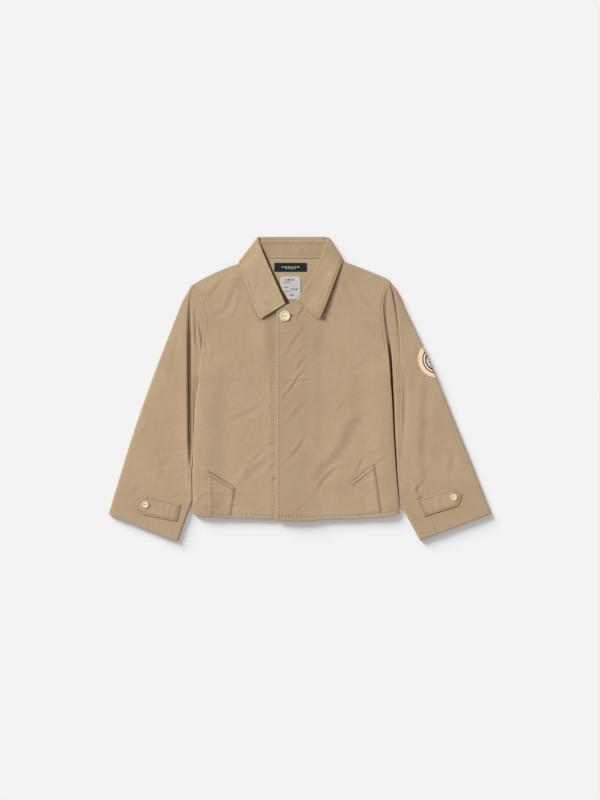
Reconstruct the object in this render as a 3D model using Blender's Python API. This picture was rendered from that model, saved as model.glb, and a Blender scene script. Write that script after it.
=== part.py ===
# A short fly-front coat in cotton twill, lying flat on its back with the sleeves beside the body.
# +Z is up and out of the front, the neck points to +Y, and the wearer's right side is at -X.
# Every piece is a wall of cloth at real size: a grid of points halfway through its thickness,
# given that thickness by a Solidify modifier.

import bmesh
import bpy
from bisect import bisect_right
from math import cos, pi, radians, sin, sqrt
from mathutils import Vector
from mathutils.bvhtree import BVHTree

# Driving dimensions, in millimetres.
MM = 0.001
TWILL = 1.4            # one layer of the coat's cloth
LABEL = 1.0            # woven labels and the sleeve badge
SEAM = 0.3             # clearance between pieces that are sewn or lie together
LOFT = 3.1             # air between the back and the fronts, and inside the sleeves
EDGE_ROUND = 30.0      # how far in from a folded edge the loft takes to build up
SIDE_LIFT = 3.9        # how far the back rises over the part of each sleeve tucked under it
UNDERARM_Y = 8.0
TUCK_REACH = (27.0, 74.0)    # in from the side, where the back comes down off a tucked sleeve
TUCK_TOP = (18.0, 76.0)      # heights between which that rise ends above the underarm
TUCK_HEM = (-277.0, -252.0)  # and between which it is pressed down to a share at the hem
TUCK_HEM_SHARE = 0.35
COLLAR_X = (-176, -142, 104, 138)    # across the neck, where the back lies on the collar leaf
COLLAR_Y = (212, 250)
FRONT_EDGE_X = -50.0   # edge of the overlapping front
UNDERLAP_X = 12.0      # hidden edge of the front beneath it
FOLD_RADIUS = 1.9      # outer fold of a sleeve, to the middle of the cloth
SLEEVE_WRAP = 62.0     # how far the top sleeve goes round under the outer fold
COLLAR_FOLD = 2.8      # radius of the leaf where it turns over the shoulder
STAND_FOLD = 1.1       # radius of the stand inside that fold
BADGE_RADIUS = 38.5
BADGE_BELOW_FOLD = 14.5      # the badge's centre lies this far round the outer fold
BADGE_FOOT = (286, 53)       # the point of the outer fold nearest to that centre
SLEEVE_WAY = (0.385, -0.923)     # direction of the outer fold there, towards the cuff
LEAF_ROLL_TOP = 9.8          # middle of the leaf's cloth at the roll line over the fronts
LEAF_OVER_FRONTS = 0.4       # clearance of the leaf over the uneven fronts
LAP_CLEARANCE = 0.45         # clearance of the overlapping front over the underlap
FRONT_BUTTON = 23.0
CUFF_BUTTON = 15.5

# Rows of the grids down the armhole, the side seam and the rest of the sleeve, and the places
# of a sleeve ring's points: under the fold, round it, and over to the main fold.
ARMHOLE_ROWS = 9
SEAM_ROWS = 11
SLEEVE_ROWS = 15
WRAP_SHARES = (1.0, 0.6, 0.25, 0.0)
FOLD_ANGLES = (45, 90, 135)
TOP_SHARES = (0, 0.06, 0.18, 0.38, 0.6, 0.8, 0.93)

# Body outline, top to bottom: armhole to the underarm, then the side seam.
BODY_EDGE = [
    # y, right x, left x
    (229, -232.5, 201.0),
    (203, -220.0, 187.0),
    (180, -214.0, 183.5),
    (154, -208.8, 184.8),
    (128, -210.0, 188.0),
    (85, -214.5, 193.5),
    (8, -220.0, 200.5),
    (-25, -225.0, 203.0),
    (-100, -229.5, 206.5),
    (-180, -233.0, 211.5),
    (-246, -234.0, 218.5),
    (-277, -234.3, 220.2),
]
SHOULDER = {
    "right": [(-232.5, 229), (-210, 242.3), (-184, 255), (-153, 267.5), (-131, 275), (-89, 291.5)],
    "left": [(201, 229), (186.5, 242.3), (157, 255.5), (122, 268.5), (94, 277.5), (66, 290)],
}
NECKLINE = {"right": [(-89, 291.5), (-69, 250), (-45, 203), (-30, 184), (-8, 179), (12, 178)],
            "left": [(66, 290), (36, 248), (12, 212), (-2, 193.5), (-10, 189), (-30, 183.5), (-50, 177)]}
BACK_NECK = [(-89, 291.5), (-78, 287.5), (-40, 286.5), (17, 286.5), (55, 287), (66, 290)]
HEM = [
    # x, y
    (-234.3, -277.0),
    (-196, -284.9),
    (-107, -286.2),
    (-48, -289.3),
    (1, -290.6),
    (67, -287.8),
    (126, -283.4),
    (185, -279.0),
    (220.2, -277.0),
]

# Each sleeve from the shoulder to the cuff: its outer fold, its main fold beside the body, and
# the part of its inner edge below the underarm.
SLEEVE_OUTER = {
    "right": [(-239.5, 223.5), (-247, 214), (-261, 190), (-274, 152), (-325, 18), (-371, -113),
              (-420, -278.5)],
    "left": [(206.5, 223.5), (219.5, 203.5), (230.5, 177), (248.5, 137), (301, 18), (356, -113),
             (421, -275.3)],
}
SLEEVE_FOLD = {
    "right": [(-235, 227), (-241, 195), (-241.7, 100), (-241.5, 0), (-241, -100), (-241, -173),
              (-250, -235), (-289, -327.6)],
    "left": [(203.5, 227), (200, 190), (197, 150), (199, 110), (205, 66), (209.5, -14), (211, -91),
             (217, -190), (224, -246), (286, -325.3)],
}
SLEEVE_INNER = {
    "right": [(-220, 8), (-209, -14), (-207, -60), (-211, -130), (-219, -200), (-235.6, -246),
              (-254.5, -291), (-270, -334.6)],
    "left": [(200.5, 8), (190, -14), (188, -60), (192, -130), (201, -200), (218.5, -248),
             (240.7, -289), (265.4, -333.8)],
}
# How deep the main fold is, and how steeply the sleeve drops to pass under the body edge.
FOLD_DEPTH = [
    # y, right valley depth, right slit, left slit
    (222, 0.4, 0.0, 0.0),
    (190, 1.6, 0.0, 0.0),
    (140, 2.6, 0.0, 0.15),
    (96, 2.8, 0.0, 0.8),
    (50, 3.0, 0.3, 1.0),
    (10, 3.0, 1.0, 1.0),
    (-120, 2.8, 1.0, 1.0),
    (-170, 1.4, 1.0, 1.0),
    (-205, 0.0, 1.0, 1.0),
    (-252, 0.0, 0.8, 0.8),
    (-285, 0.0, 0.0, 0.0),
]

# Largest creases: a soft trough (negative) or ridge along a line.
CREASES = [
    # node, from x, from y, to x, to y, half width, height
    ("front_right", -72, 150, -66, 20, 22, -1.3),
    ("front_right", -150, 60, -125, -150, 34, -0.9),
    ("front_right", -190, -60, -170, -230, 26, 0.7),
    ("front_left", 126, -70, 40, -205, 30, -1.4),
    ("front_left", 5, 30, -34, -22, 20, -1.0),
    ("front_left", 85, -168, 18, -246, 22, 0.8),
    ("front_left", 60, 190, 110, 60, 34, -0.8),
    ("front_left", 160, 120, 165, -60, 30, 0.8),
    ("sleeve_top_right", -290, 100, -345, -140, 26, -1.0),
    ("sleeve_top_right", -275, -40, -300, -220, 22, 0.8),
    ("sleeve_top_left", 262, 20, 300, -190, 24, -1.0),
    ("sleeve_top_left", 232, 110, 262, -60, 20, 0.8),
    ("sleeve_top_left", 330, -60, 372, -230, 26, -0.8),
]

# Collar, from each front point round to the side fold: the roll line and the leaf's outer edge.
LEAF_ROLL = {"right": [(-30.6, 185.9), (-54.1, 238.7), (-74.4, 285.6), (-91.2, 331.0)],
             "left": [(-7.7, 189.6), (26.6, 248.6), (47, 290), (62.5, 330)]}
LEAF_EDGE = {"right": [(-84.7, 152.9), (-96.5, 172), (-111.1, 214.5), (-130.6, 276.5)],
             "left": [(45.1, 152.9), (57, 181), (70, 216), (93.0, 278.5)]}
LEAF_BACK_EDGE = [(-130.6, 276.5), (-104, 266), (-60, 261), (-14, 260), (30, 261), (68, 267), (93.0, 278.5)]
BACK_ROLL = [(-91.2, 331.0), (-60, 334.6), (-14, 335.2), (35, 335.2), (52, 334.4), (62.5, 330)]
STAND_ROLL = {"right": [(-40, 208), (-54.5, 240), (-74.4, 284), (-88.3, 327)],
              "left": [(7, 213), (26, 246), (45, 286), (59.4, 325)]}
STAND_SEAM = {"right": [(-46.7, 209.5), (-67, 249), (-80.5, 277), (-86.6, 292.5)],
              "left": [(14, 216.5), (34.8, 248), (52.4, 273), (62.5, 290)]}
STAND_BACK_ROLL = [(-88.3, 327), (-60, 332), (-14, 333), (35, 333), (59.4, 325)]
STAND_BACK_SEAM = [(-86.6, 292.5), (-76, 289), (-40, 287.3), (17, 287.2), (52, 288.4), (62.5, 290)]

POCKETS = {
    # opening corner at the side, opening corner at the front, lower corners at front and side
    "right": [(-200.5, -182.5), (-140.5, -220.5), (-150, -280.5), (-198.5, -277)],
    "left": [(164, -168), (112, -209.5), (125, -279), (178.5, -274)],
}
TABS = {
    # upper edge from the base to the tip, then the lower edge from the base to the tip
    "right": [[(-261, -255), (-335.5, -236), (-358, -254)], [(-268.5, -291), (-341, -276.5), (-358, -267)]],
    "left": [[(257.5, -246.5), (336, -220), (356.5, -233)], [(274.5, -280), (345, -258), (350.5, -254)]],
}
BUTTONS = [
    # node, x, y, diameter, thickness, carried by
    ("button_front", -31.7, 159.3, FRONT_BUTTON, 3.4, "front_left"),
    ("button_cuff_right", -338.5, -254.5, CUFF_BUTTON, 2.8, "tab_right"),
    ("button_cuff_left", 338.5, -238.5, CUFF_BUTTON, 2.8, "tab_left"),
]
LABELS = [
    # node, left x, right x, top y, bottom y
    ("label_neck", -56.0, 16.5, 276.0, 256.5),
    ("label_size", -44.0, 5.0, 246.0, 195.0),
]

COLOURS = {
    # sRGB red, green, blue, roughness
    "khaki twill": (0.71, 0.62, 0.49, 0.85),
    "horn button": (0.93, 0.86, 0.71, 0.4),
    "dark label": (0.08, 0.09, 0.12, 0.7),
    "pale label": (0.83, 0.82, 0.80, 0.75),
    "badge thread": (0.90, 0.85, 0.74, 0.7),
}


def mix(low, high, share):
    return low + (high - low) * share


def ease(value, low, high):
    """0 at low and 1 at high, level at both ends."""
    share = min(1.0, max(0.0, (value - low) / (high - low)))
    return share * share * (3 - 2 * share)


def rounded(distance, reach):
    """Rises like a quarter of an ellipse from 0 at the edge to 1 at reach."""
    share = min(1.0, max(0.0, distance / reach))
    return sqrt(1 - (1 - share) ** 2)


def column(table, y, index):
    """Column index of a table whose first column falls, at y."""
    if y >= table[0][0]:
        return table[0][index]
    for upper, lower in zip(table, table[1:]):
        if y >= lower[0]:
            return mix(lower[index], upper[index], (y - lower[0]) / (upper[0] - lower[0]))
    return table[-1][index]


def smooth(points, steps=8):
    """A Catmull-Rom line through the points."""
    points = [Vector(p) for p in points]
    ends = [2 * points[0] - points[1]] + points + [2 * points[-1] - points[-2]]
    line = []
    for a, b, c, d in zip(ends, ends[1:], ends[2:], ends[3:]):
        for i in range(steps):
            t = i / steps
            line.append(0.5 * (2 * b + (c - a) * t + (2 * a - 5 * b + 4 * c - d) * t * t
                               + (3 * b - a - 3 * c + d) * t ** 3))
    return line + [points[-1]]


class Line:
    """A run of points read by the share of its length."""

    def __init__(self, points):
        self.points = [Vector(p) for p in points]
        self.reach = [0.0]
        for a, b in zip(self.points, self.points[1:]):
            self.reach.append(self.reach[-1] + (b - a).length)
        self.length = self.reach[-1]

    def at(self, share):
        distance = min(max(share, 0.0), 1.0) * self.length
        i = min(bisect_right(self.reach, distance), len(self.points) - 1)
        span = self.reach[i] - self.reach[i - 1]
        return self.points[i - 1].lerp(self.points[i], (distance - self.reach[i - 1]) / span)

    def share_near(self, point):
        """Share of the length at the given corner."""
        nearest = min(range(len(self.points)), key=lambda i: (self.points[i] - Vector(point)).length)
        return self.reach[nearest] / self.length


def spread(count, *corners):
    """Shares from 0 to 1, about count of them, with one at each corner."""
    stops = [0.0, *sorted(corners), 1.0]
    shares = [0.0]
    for low, high in zip(stops, stops[1:]):
        steps = max(1, round((high - low) * count))
        shares += [mix(low, high, (i + 1) / steps) for i in range(steps)]
    return shares


def coons(top, bottom, left, right, across, down):
    """Rows of plan points inside four border lines that meet at their ends."""
    rows = []
    for g in down:
        row = []
        for f in across:
            edges = (1 - g) * top.at(f) + g * bottom.at(f) + (1 - f) * left.at(g) + f * right.at(g)
            corners = ((1 - f) * (1 - g) * top.at(0) + f * (1 - g) * top.at(1)
                       + (1 - f) * g * bottom.at(0) + f * g * bottom.at(1))
            row.append(edges - corners)
        rows.append(row)
    return rows


def material(name):
    made = bpy.data.materials.get(name)
    if made:
        return made
    made = bpy.data.materials.new(name)
    made.use_nodes = True
    red, green, blue, rough = COLOURS[name]
    shader = made.node_tree.nodes["Principled BSDF"]
    shader.inputs["Base Color"].default_value = (red ** 2.2, green ** 2.2, blue ** 2.2, 1)
    shader.inputs["Roughness"].default_value = rough
    shader.inputs["Metallic"].default_value = 0.0
    return made


def add_object(name, vertices, faces, finish):
    mesh = bpy.data.meshes.new(name)
    mesh.from_pydata([[c * MM for c in v] for v in vertices], [], faces)
    mesh.materials.append(material(finish))
    mesh.shade_smooth()
    made = bpy.data.objects.new(name, mesh)
    bpy.context.scene.collection.objects.link(made)
    return made


def cloth(name, grid, finish="khaki twill", thickness=TWILL):
    """A wall of cloth about a grid of (x, y, z) points, whose rows all have the same length."""
    columns = len(grid[0])
    faces = []
    for r in range(len(grid) - 1):
        for c in range(columns - 1):
            a = r * columns + c
            faces.append((a, a + columns, a + columns + 1, a + 1))
    made = add_object(name, [p for row in grid for p in row], faces, finish)
    wall = made.modifiers.new("cloth thickness", "SOLIDIFY")
    wall.thickness = thickness * MM
    wall.offset = 0.0
    return made


def height_of(*names):
    """A function that gives the highest point of these pieces at x, y, or None beside them."""
    bpy.context.view_layer.update()
    graph = bpy.context.evaluated_depsgraph_get()
    trees = [BVHTree.FromObject(bpy.data.objects[name], graph) for name in names]

    def height(x, y):
        found = [tree.ray_cast(Vector((x * MM, y * MM, 1.0)), Vector((0, 0, -1)))[0] for tree in trees]
        tops = [hit.z / MM for hit in found if hit]
        return max(tops) if tops else None

    return height


def lying_on(height, x, y, around, thickness=TWILL):
    """Middle of a layer of cloth that lies on pieces, clear of them for some distance around."""
    near = [height(x + dx, y + dy) for dx in (-around, 0, around) for dy in (-around, 0, around)]
    return max(z for z in near if z is not None) + SEAM + thickness / 2


def side_x(side, y):
    return column(BODY_EDGE, y, 1 if side == "right" else 2)


def inside_edge(side, x, y):
    """Distance from the body's side edge, positive on the body."""
    return x - side_x("right", y) if side == "right" else side_x("left", y) - x


def shoulder_y(x):
    """Height of the shoulder lines in plan, level across the neck."""
    line = SHOULDER["right"] + SHOULDER["left"][::-1]
    for (x0, y0), (x1, y1) in zip(line, line[1:]):
        if x0 <= x <= x1:
            return mix(y0, y1, (x - x0) / (x1 - x0))
    return line[0][1] if x < line[0][0] else line[-1][1]


def creases(node, x, y):
    """Sum of the largest creases of a piece."""
    total = 0.0
    for name, x0, y0, x1, y1, half_width, height in CREASES:
        if name != node:
            continue
        start = Vector((x0, y0))
        run = Vector((x1, y1)) - start
        share = min(1.0, max(0.0, (Vector((x, y)) - start).dot(run) / run.length_squared))
        beside = (Vector((x, y)) - start - share * run).length / half_width
        along = sin(pi * min(1.0, max(0.0, 0.08 + 0.84 * share)))
        if beside < 1:
            total += height * along * (0.5 + 0.5 * cos(pi * beside))
    return total


# Body

def body_side(side):
    """Armhole and side seam of one side, as plan points, and how many belong to the armhole."""
    index = 1 if side == "right" else 2
    armhole = smooth([(row[index], row[0]) for row in BODY_EDGE if row[0] >= UNDERARM_Y], 6)
    seam = smooth([(row[index], row[0]) for row in BODY_EDGE if row[0] <= UNDERARM_Y], 4)
    return armhole, seam


def side_shares(line, side):
    """Rows of a panel: the armhole in equal steps, then the side seam in equal steps."""
    turn = line.share_near((side_x(side, UNDERARM_Y), UNDERARM_Y))
    above = [turn * i / ARMHOLE_ROWS for i in range(ARMHOLE_ROWS)]
    return above + [mix(turn, 1, i / SEAM_ROWS) for i in range(SEAM_ROWS + 1)]


def back_lift(x, y):
    """Underside of the back: flat on the surface, but raised over the sleeves and the collar leaf."""
    near_side = max(1 - ease(inside_edge(side, x, y), *TUCK_REACH) for side in ("right", "left"))
    below_arm = 1 - ease(y, *TUCK_TOP)
    at_hem = mix(TUCK_HEM_SHARE, 1.0, ease(y, *TUCK_HEM))
    over_sleeve = SIDE_LIFT * near_side * below_arm * at_hem
    across_neck = ease(x, *COLLAR_X[:2]) * (1 - ease(x, *COLLAR_X[2:]))
    over_leaf = (TWILL + SEAM) * across_neck * ease(y, *COLLAR_Y)
    return max(over_sleeve, over_leaf)


def back_middle(x, y):
    return back_lift(x, y) + TWILL / 2


def single_front(node, x, y):
    """Middle of a front panel's cloth over the back, with no overlap counted."""
    side = "right" if node == "front_right" else "left"
    below_arm = 1 - ease(y, UNDERARM_Y, 50)
    at_side = mix(1.0, rounded(inside_edge(side, x, y), EDGE_ROUND), below_arm)
    at_shoulder = ease(shoulder_y(x) - y, -6, EDGE_ROUND)
    soft = creases(node, x, y) * at_side * at_shoulder
    loft = max(0.0, LOFT * at_side * at_shoulder + soft)
    return back_middle(x, y) + TWILL + SEAM + min(LOFT + 0.6, loft)


def front_right_middle(x, y):
    return single_front("front_right", x, y)


def front_left_middle(x, y):
    over = 1 - ease(x, UNDERLAP_X + 10, UNDERLAP_X + 44)
    lapped = front_right_middle(x, y) + TWILL + LAP_CLEARANCE
    return mix(single_front("front_left", x, y), lapped, over)


def laid(plan, middle):
    return [[(p.x, p.y, middle(p.x, p.y)) for p in row] for row in plan]


def hem_between(low, high):
    """The hem line from x = low to x = high."""
    line = smooth(HEM, 8)
    falling = [(-p.x, p.y) for p in line]
    inner = [p for p in line if low + 1 < p.x < high - 1]
    ends = [Vector((x, column(falling, -x, 1))) for x in (low, high)]
    return Line([ends[0], *inner, ends[1]])


def make_back():
    right = smooth(SHOULDER["right"], 4)
    left = smooth(SHOULDER["left"], 4)[::-1]
    top = Line(right + smooth(BACK_NECK, 4)[1:] + left[1:])
    corners = [top.share_near(SHOULDER["right"][-1]), top.share_near(SHOULDER["left"][-1])]
    edges = {}
    for side in ("right", "left"):
        armhole, seam = body_side(side)
        edges[side] = Line(armhole + seam[1:])
    down = side_shares(edges["right"], "right")
    plan = coons(top, Line(smooth(HEM, 4)), edges["right"], edges["left"], spread(17, *corners), down)
    cloth("back", laid(plan, back_middle))


def make_front_right():
    top = Line(smooth(SHOULDER["right"], 4) + smooth(NECKLINE["right"], 4)[1:])
    hem = hem_between(HEM[0][0], UNDERLAP_X)
    armhole, seam = body_side("right")
    side = Line(armhole + seam[1:])
    edge = Line([NECKLINE["right"][-1], hem.at(1)])
    across = spread(13, top.share_near(SHOULDER["right"][-1]))
    plan = coons(top, hem, side, edge, across, side_shares(side, "right"))
    cloth("front_right", laid(plan, front_right_middle))


def make_front_left():
    top = Line(smooth(NECKLINE["left"][::-1], 4) + smooth(SHOULDER["left"][::-1], 4)[1:])
    hem = hem_between(FRONT_EDGE_X, HEM[-1][0])
    armhole, seam = body_side("left")
    side = Line(armhole + seam[1:])
    edge = Line([NECKLINE["left"][-1], hem.at(0)])
    across = spread(15, top.share_near(SHOULDER["left"][-1]))
    plan = coons(top, hem, edge, side, across, side_shares(side, "left"))
    cloth("front_left", laid(plan, front_left_middle))


# Sleeves

def sleeve_lines(side):
    """Outer fold, main fold and inner edge of a sleeve, each from the shoulder to the cuff."""
    away = Vector((-0.4 if side == "right" else 0.4, 0))
    armhole = [p + away for p in body_side(side)[0]]
    inner = smooth([armhole[-1], *SLEEVE_INNER[side][1:]], 4)
    outer, main = (Line(smooth(table[side], 6)) for table in (SLEEVE_OUTER, SLEEVE_FOLD))
    return outer, main, Line(armhole + inner[1:])


def badge_lift(side, x, y):
    """The wearer's left sleeve lies on the round badge, which goes round its outer fold."""
    if side == "right":
        return 0.0
    from_foot = Vector((x, y)) - Vector(BADGE_FOOT)
    down_sleeve = Vector(SLEEVE_WAY).normalized()
    along = abs(from_foot.dot(down_sleeve))
    inward = abs(from_foot.cross(down_sleeve))
    return (SEAM + LABEL + 0.1) * (1 - ease(along, 62, 110)) * (1 - ease(inward, 60, 82))


def sleeve_top_middle(side, x, y, from_outer, from_inner):
    """Middle of the top sleeve's cloth, from the plan point and its distances to both edges."""
    low = 1.5 * TWILL + SEAM
    full = low + LOFT
    outside = -inside_edge(side, x, y)
    if side == "right":
        slit = column(FOLD_DEPTH, y, 2) * (1 - ease(outside, 3.0, 11.0))
    else:
        lip = mix(4.2, 9.3, ease(y, -100, 70))
        slit = column(FOLD_DEPTH, y, 3) * (1 - ease(outside, lip - 2.5, lip))
    start = TWILL / 2 + 2 * FOLD_RADIUS + badge_lift(side, x, y)
    z = mix(start, full, rounded(from_outer, EDGE_ROUND))
    z += creases("sleeve_top_" + side, x, y) * rounded(from_outer, 40)
    z = mix(z, low + 0.3, slit)
    if y < UNDERARM_Y:
        z = mix(low, z, rounded(from_inner, 16))
    return z


def sleeve_shares(side):
    inner = sleeve_lines(side)[2]
    turn = inner.share_near((side_x(side, UNDERARM_Y), UNDERARM_Y))
    above = [turn * i / ARMHOLE_ROWS for i in range(ARMHOLE_ROWS)]
    return above + [mix(turn, 1, i / SLEEVE_ROWS) for i in range(SLEEVE_ROWS + 1)]


def sleeve_row(side, outer, main, end):
    """One ring of the top sleeve: in under the outer fold, round it, and over to the inner edge."""
    inward = (end - outer).normalized()
    axis = outer + inward * (FOLD_RADIUS + TWILL / 2)
    wrap = min(SLEEVE_WRAP, 0.5 * (end - outer).length)
    lift = badge_lift(side, *axis)
    row = []
    for share in WRAP_SHARES:
        p = axis + inward * wrap * share
        row.append((p.x, p.y, TWILL / 2 + badge_lift(side, *p)))
    for angle in FOLD_ANGLES:
        p = axis - inward * FOLD_RADIUS * sin(radians(angle))
        row.append((p.x, p.y, TWILL / 2 + lift + FOLD_RADIUS * (1 - cos(radians(angle)))))
    past_main = -inside_edge(side, *main)
    past_end = -inside_edge(side, *end)
    under = min(0.8, max(0.4, (past_main - 1.5) / max(1.0, past_main - past_end)))
    over = [axis.lerp(main, share) for share in TOP_SHARES]
    tucked = [main.lerp(end, share) for share in (0, 0.07, 0.5 * under, under, mix(under, 1, 0.5), 1)]
    for p in over + tucked:
        z = sleeve_top_middle(side, p.x, p.y, (p - axis).length, (p - end).length)
        if side == "right" and p == tucked[0]:
            z -= column(FOLD_DEPTH, p.y, 1) * rounded((main - axis).length, 40)
        row.append((p.x, p.y, z))
    return row


def make_sleeve(side):
    outer, fold, inner = sleeve_lines(side)
    shares = sleeve_shares(side)
    rows = [sleeve_row(side, outer.at(g), fold.at(g), inner.at(g)) for g in shares]
    cloth("sleeve_top_" + side, rows)
    under = []
    for row, g in zip(rows, shares):
        seam = Vector(row[0][:2])
        end = inner.at(g)
        begin = seam + (end - seam).normalized() * (SEAM + 0.05)
        plan = [begin.lerp(end, share) for share in (0, 0.3, 0.6, 0.85, 1)]
        under.append([(p.x, p.y, TWILL / 2 + badge_lift(side, *p)) for p in plan])
    cloth("sleeve_under_" + side, under)
    return rows, shares


def make_badge(rows, shares):
    """A disc bent round the outer fold, made from the sleeve's own points moved out."""
    fold_column = len(WRAP_SHARES) + FOLD_ANGLES.index(90)
    length = sleeve_lines("left")[0].length

    def on_ring(row, arc):
        """Point of a ring at a distance from its fold, above it (positive) or below."""
        points = [Vector(p) for p in row]
        way = 1 if arc >= 0 else -1
        left = abs(arc)
        i = fold_column
        while (points[i + way] - points[i]).length < left:
            left -= (points[i + way] - points[i]).length
            i += way
        return points[i].lerp(points[i + way], left / (points[i + way] - points[i]).length)

    def on_sleeve(arc, share):
        r = min(max(bisect_right(shares, share), 1), len(shares) - 1)
        part = (share - shares[r - 1]) / (shares[r] - shares[r - 1])
        return on_ring(rows[r - 1], arc).lerp(on_ring(rows[r], arc), part)

    def moved_out(arc, share):
        around = on_sleeve(arc + 0.5, share) - on_sleeve(arc - 0.5, share)
        along = on_sleeve(arc, share + 0.004) - on_sleeve(arc, share - 0.004)
        out = around.cross(along).normalized()
        return on_sleeve(arc, share) + out * (TWILL / 2 + SEAM + 0.05 + LABEL / 2)

    outer = sleeve_lines("left")[0]
    middle = outer.share_near(BADGE_FOOT)
    turn = pi * FOLD_RADIUS / 2
    low = -BADGE_BELOW_FOLD - 0.97 * BADGE_RADIUS
    high = -BADGE_BELOW_FOLD + 0.97 * BADGE_RADIUS
    arcs = [low, low + 4, low + 12, -30, -18, -9, -turn, -turn / 2, 0, turn / 2, turn, 8, high - 5, high]
    grid = []
    for arc in arcs:
        half = sqrt(BADGE_RADIUS ** 2 - (arc + BADGE_BELOW_FOLD) ** 2) / length
        grid.append([moved_out(arc, middle + half * i / 4) for i in range(-4, 5)])
    cloth("sleeve_badge", grid, "badge thread", LABEL)


# Collar

def fold_over(roll, edge, radius, bottom, angles):
    """Sections of a collar piece where it turns over the side of the neck, from the top down."""
    run = (edge - roll).normalized()
    out = Vector((-run.y, run.x))
    if out.x * roll.x < 0:
        out = -out
    sections = []
    for angle in angles:
        shift = out * radius * sin(radians(angle))
        sections.append((roll + shift, edge + shift, bottom + radius * (1 + cos(radians(angle)))))
    return sections


def make_leaf():
    on_fronts = height_of("front_right", "front_left")
    across = (0, 0.13, 0.36, 0.6, 0.82, 1)
    turned = TWILL / 2 + 2 * COLLAR_FOLD
    grid = {}
    for side in ("right", "left"):
        roll = Line(smooth(LEAF_ROLL[side], 6))
        edge = Line(smooth(LEAF_EDGE[side], 6))
        rows = []
        for f in (0, 0.12, 0.27, 0.42, 0.57, 0.71, 0.82, 0.9, 0.95):
            row = []
            for share in across:
                p = roll.at(f).lerp(edge.at(f), share)
                near = [on_fronts(p.x + dx, p.y + dy) for dx in (-5, 0, 5) for dy in (-5, 0, 5)]
                ground = max([z for z in near if z is not None], default=0.0)
                lying = max(turned, ground + LEAF_OVER_FRONTS + TWILL / 2)
                rolled = max(lying, LEAF_ROLL_TOP) + 0.6 * sin(pi * f)
                top = mix(lying, rolled, (1 - share) ** 2)
                row.append((p.x, p.y, max(lying, mix(turned, top, ease(1 - f, 0, 0.2)))))
            rows.append(row)
        folds = fold_over(roll.at(1), edge.at(1), COLLAR_FOLD, TWILL / 2, (0, 45, 90, 135))
        for a, b, z in folds:
            rows.append([(*a.lerp(b, share), z) for share in across])
        grid[side] = rows
    roll = Line(smooth(BACK_ROLL, 4))
    edge = Line(smooth(LEAF_BACK_EDGE, 4))
    back = []
    for f in spread(9):
        back.append([(*roll.at(f).lerp(edge.at(f), share), TWILL / 2) for share in across])
    cloth("collar_leaf", grid["right"] + back + grid["left"][::-1])


def make_stand():
    across = (0, 0.25, 0.5, 0.75, 1)
    bottom = TWILL * 1.5 + SEAM
    folded = bottom + 2 * STAND_FOLD
    middles = {"right": front_right_middle, "left": front_left_middle}
    grid = {}
    for side in ("right", "left"):
        roll = Line(smooth(STAND_ROLL[side], 6))
        seam = Line(smooth(STAND_SEAM[side], 6))
        rows = []
        for f in (0, 0.2, 0.4, 0.6, 0.78, 0.92):
            a = roll.at(f)
            b = seam.at(f)
            rise = ease(1 - f, 0, 0.25)
            low = mix(folded, middles[side](b.x, b.y), rise)
            high = mix(folded, LEAF_ROLL_TOP - TWILL - SEAM - 0.5, rise)
            rows.append([(*a.lerp(b, share), mix(high, low, ease(share, 0, 1))) for share in across])
        for a, b, z in fold_over(roll.at(1), seam.at(1), STAND_FOLD, bottom, (0, 45, 90, 135)):
            rows.append([(*a.lerp(b, share), z) for share in across])
        grid[side] = rows
    roll = Line(smooth(STAND_BACK_ROLL, 4))
    seam = Line(smooth(STAND_BACK_SEAM, 4))
    back = []
    for f in spread(9):
        back.append([(*roll.at(f).lerp(seam.at(f), share), bottom) for share in across])
    cloth("collar_stand", grid["right"] + back + grid["left"][::-1])


# Pieces sewn on

def make_pocket(side):
    height = height_of("front_" + side)
    at_side, at_front, low_front, low_side = (Vector(p) for p in POCKETS[side])
    rows = []
    for g in spread(6):
        start = at_side.lerp(low_side, g)
        end = at_front.lerp(low_front, g)
        row = [start.lerp(end, f) for f in spread(5)]
        rows.append([(p.x, p.y, lying_on(height, p.x, p.y, 3)) for p in row])
    cloth("pocket_" + side, rows)


def make_tab(side):
    height = height_of("sleeve_top_" + side)
    upper, lower = (Line(points) for points in TABS[side])
    corner = upper.share_near(TABS[side][0][1])
    rows = []
    for f in spread(8, corner):
        row = [upper.at(f).lerp(lower.at(f), g) for g in spread(3)]
        rows.append([(p.x, p.y, lying_on(height, p.x, p.y, 3)) for p in row])
    cloth("tab_" + side, rows)


def make_label(name, left, right, top, bottom, finish):
    height = height_of("back")
    rows = []
    for y in (mix(top, bottom, g) for g in spread(3)):
        xs = [mix(left, right, f) for f in spread(4)]
        rows.append([(x, y, lying_on(height, x, y, 3, LABEL)) for x in xs])
    cloth(name, rows, finish, LABEL)


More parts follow.
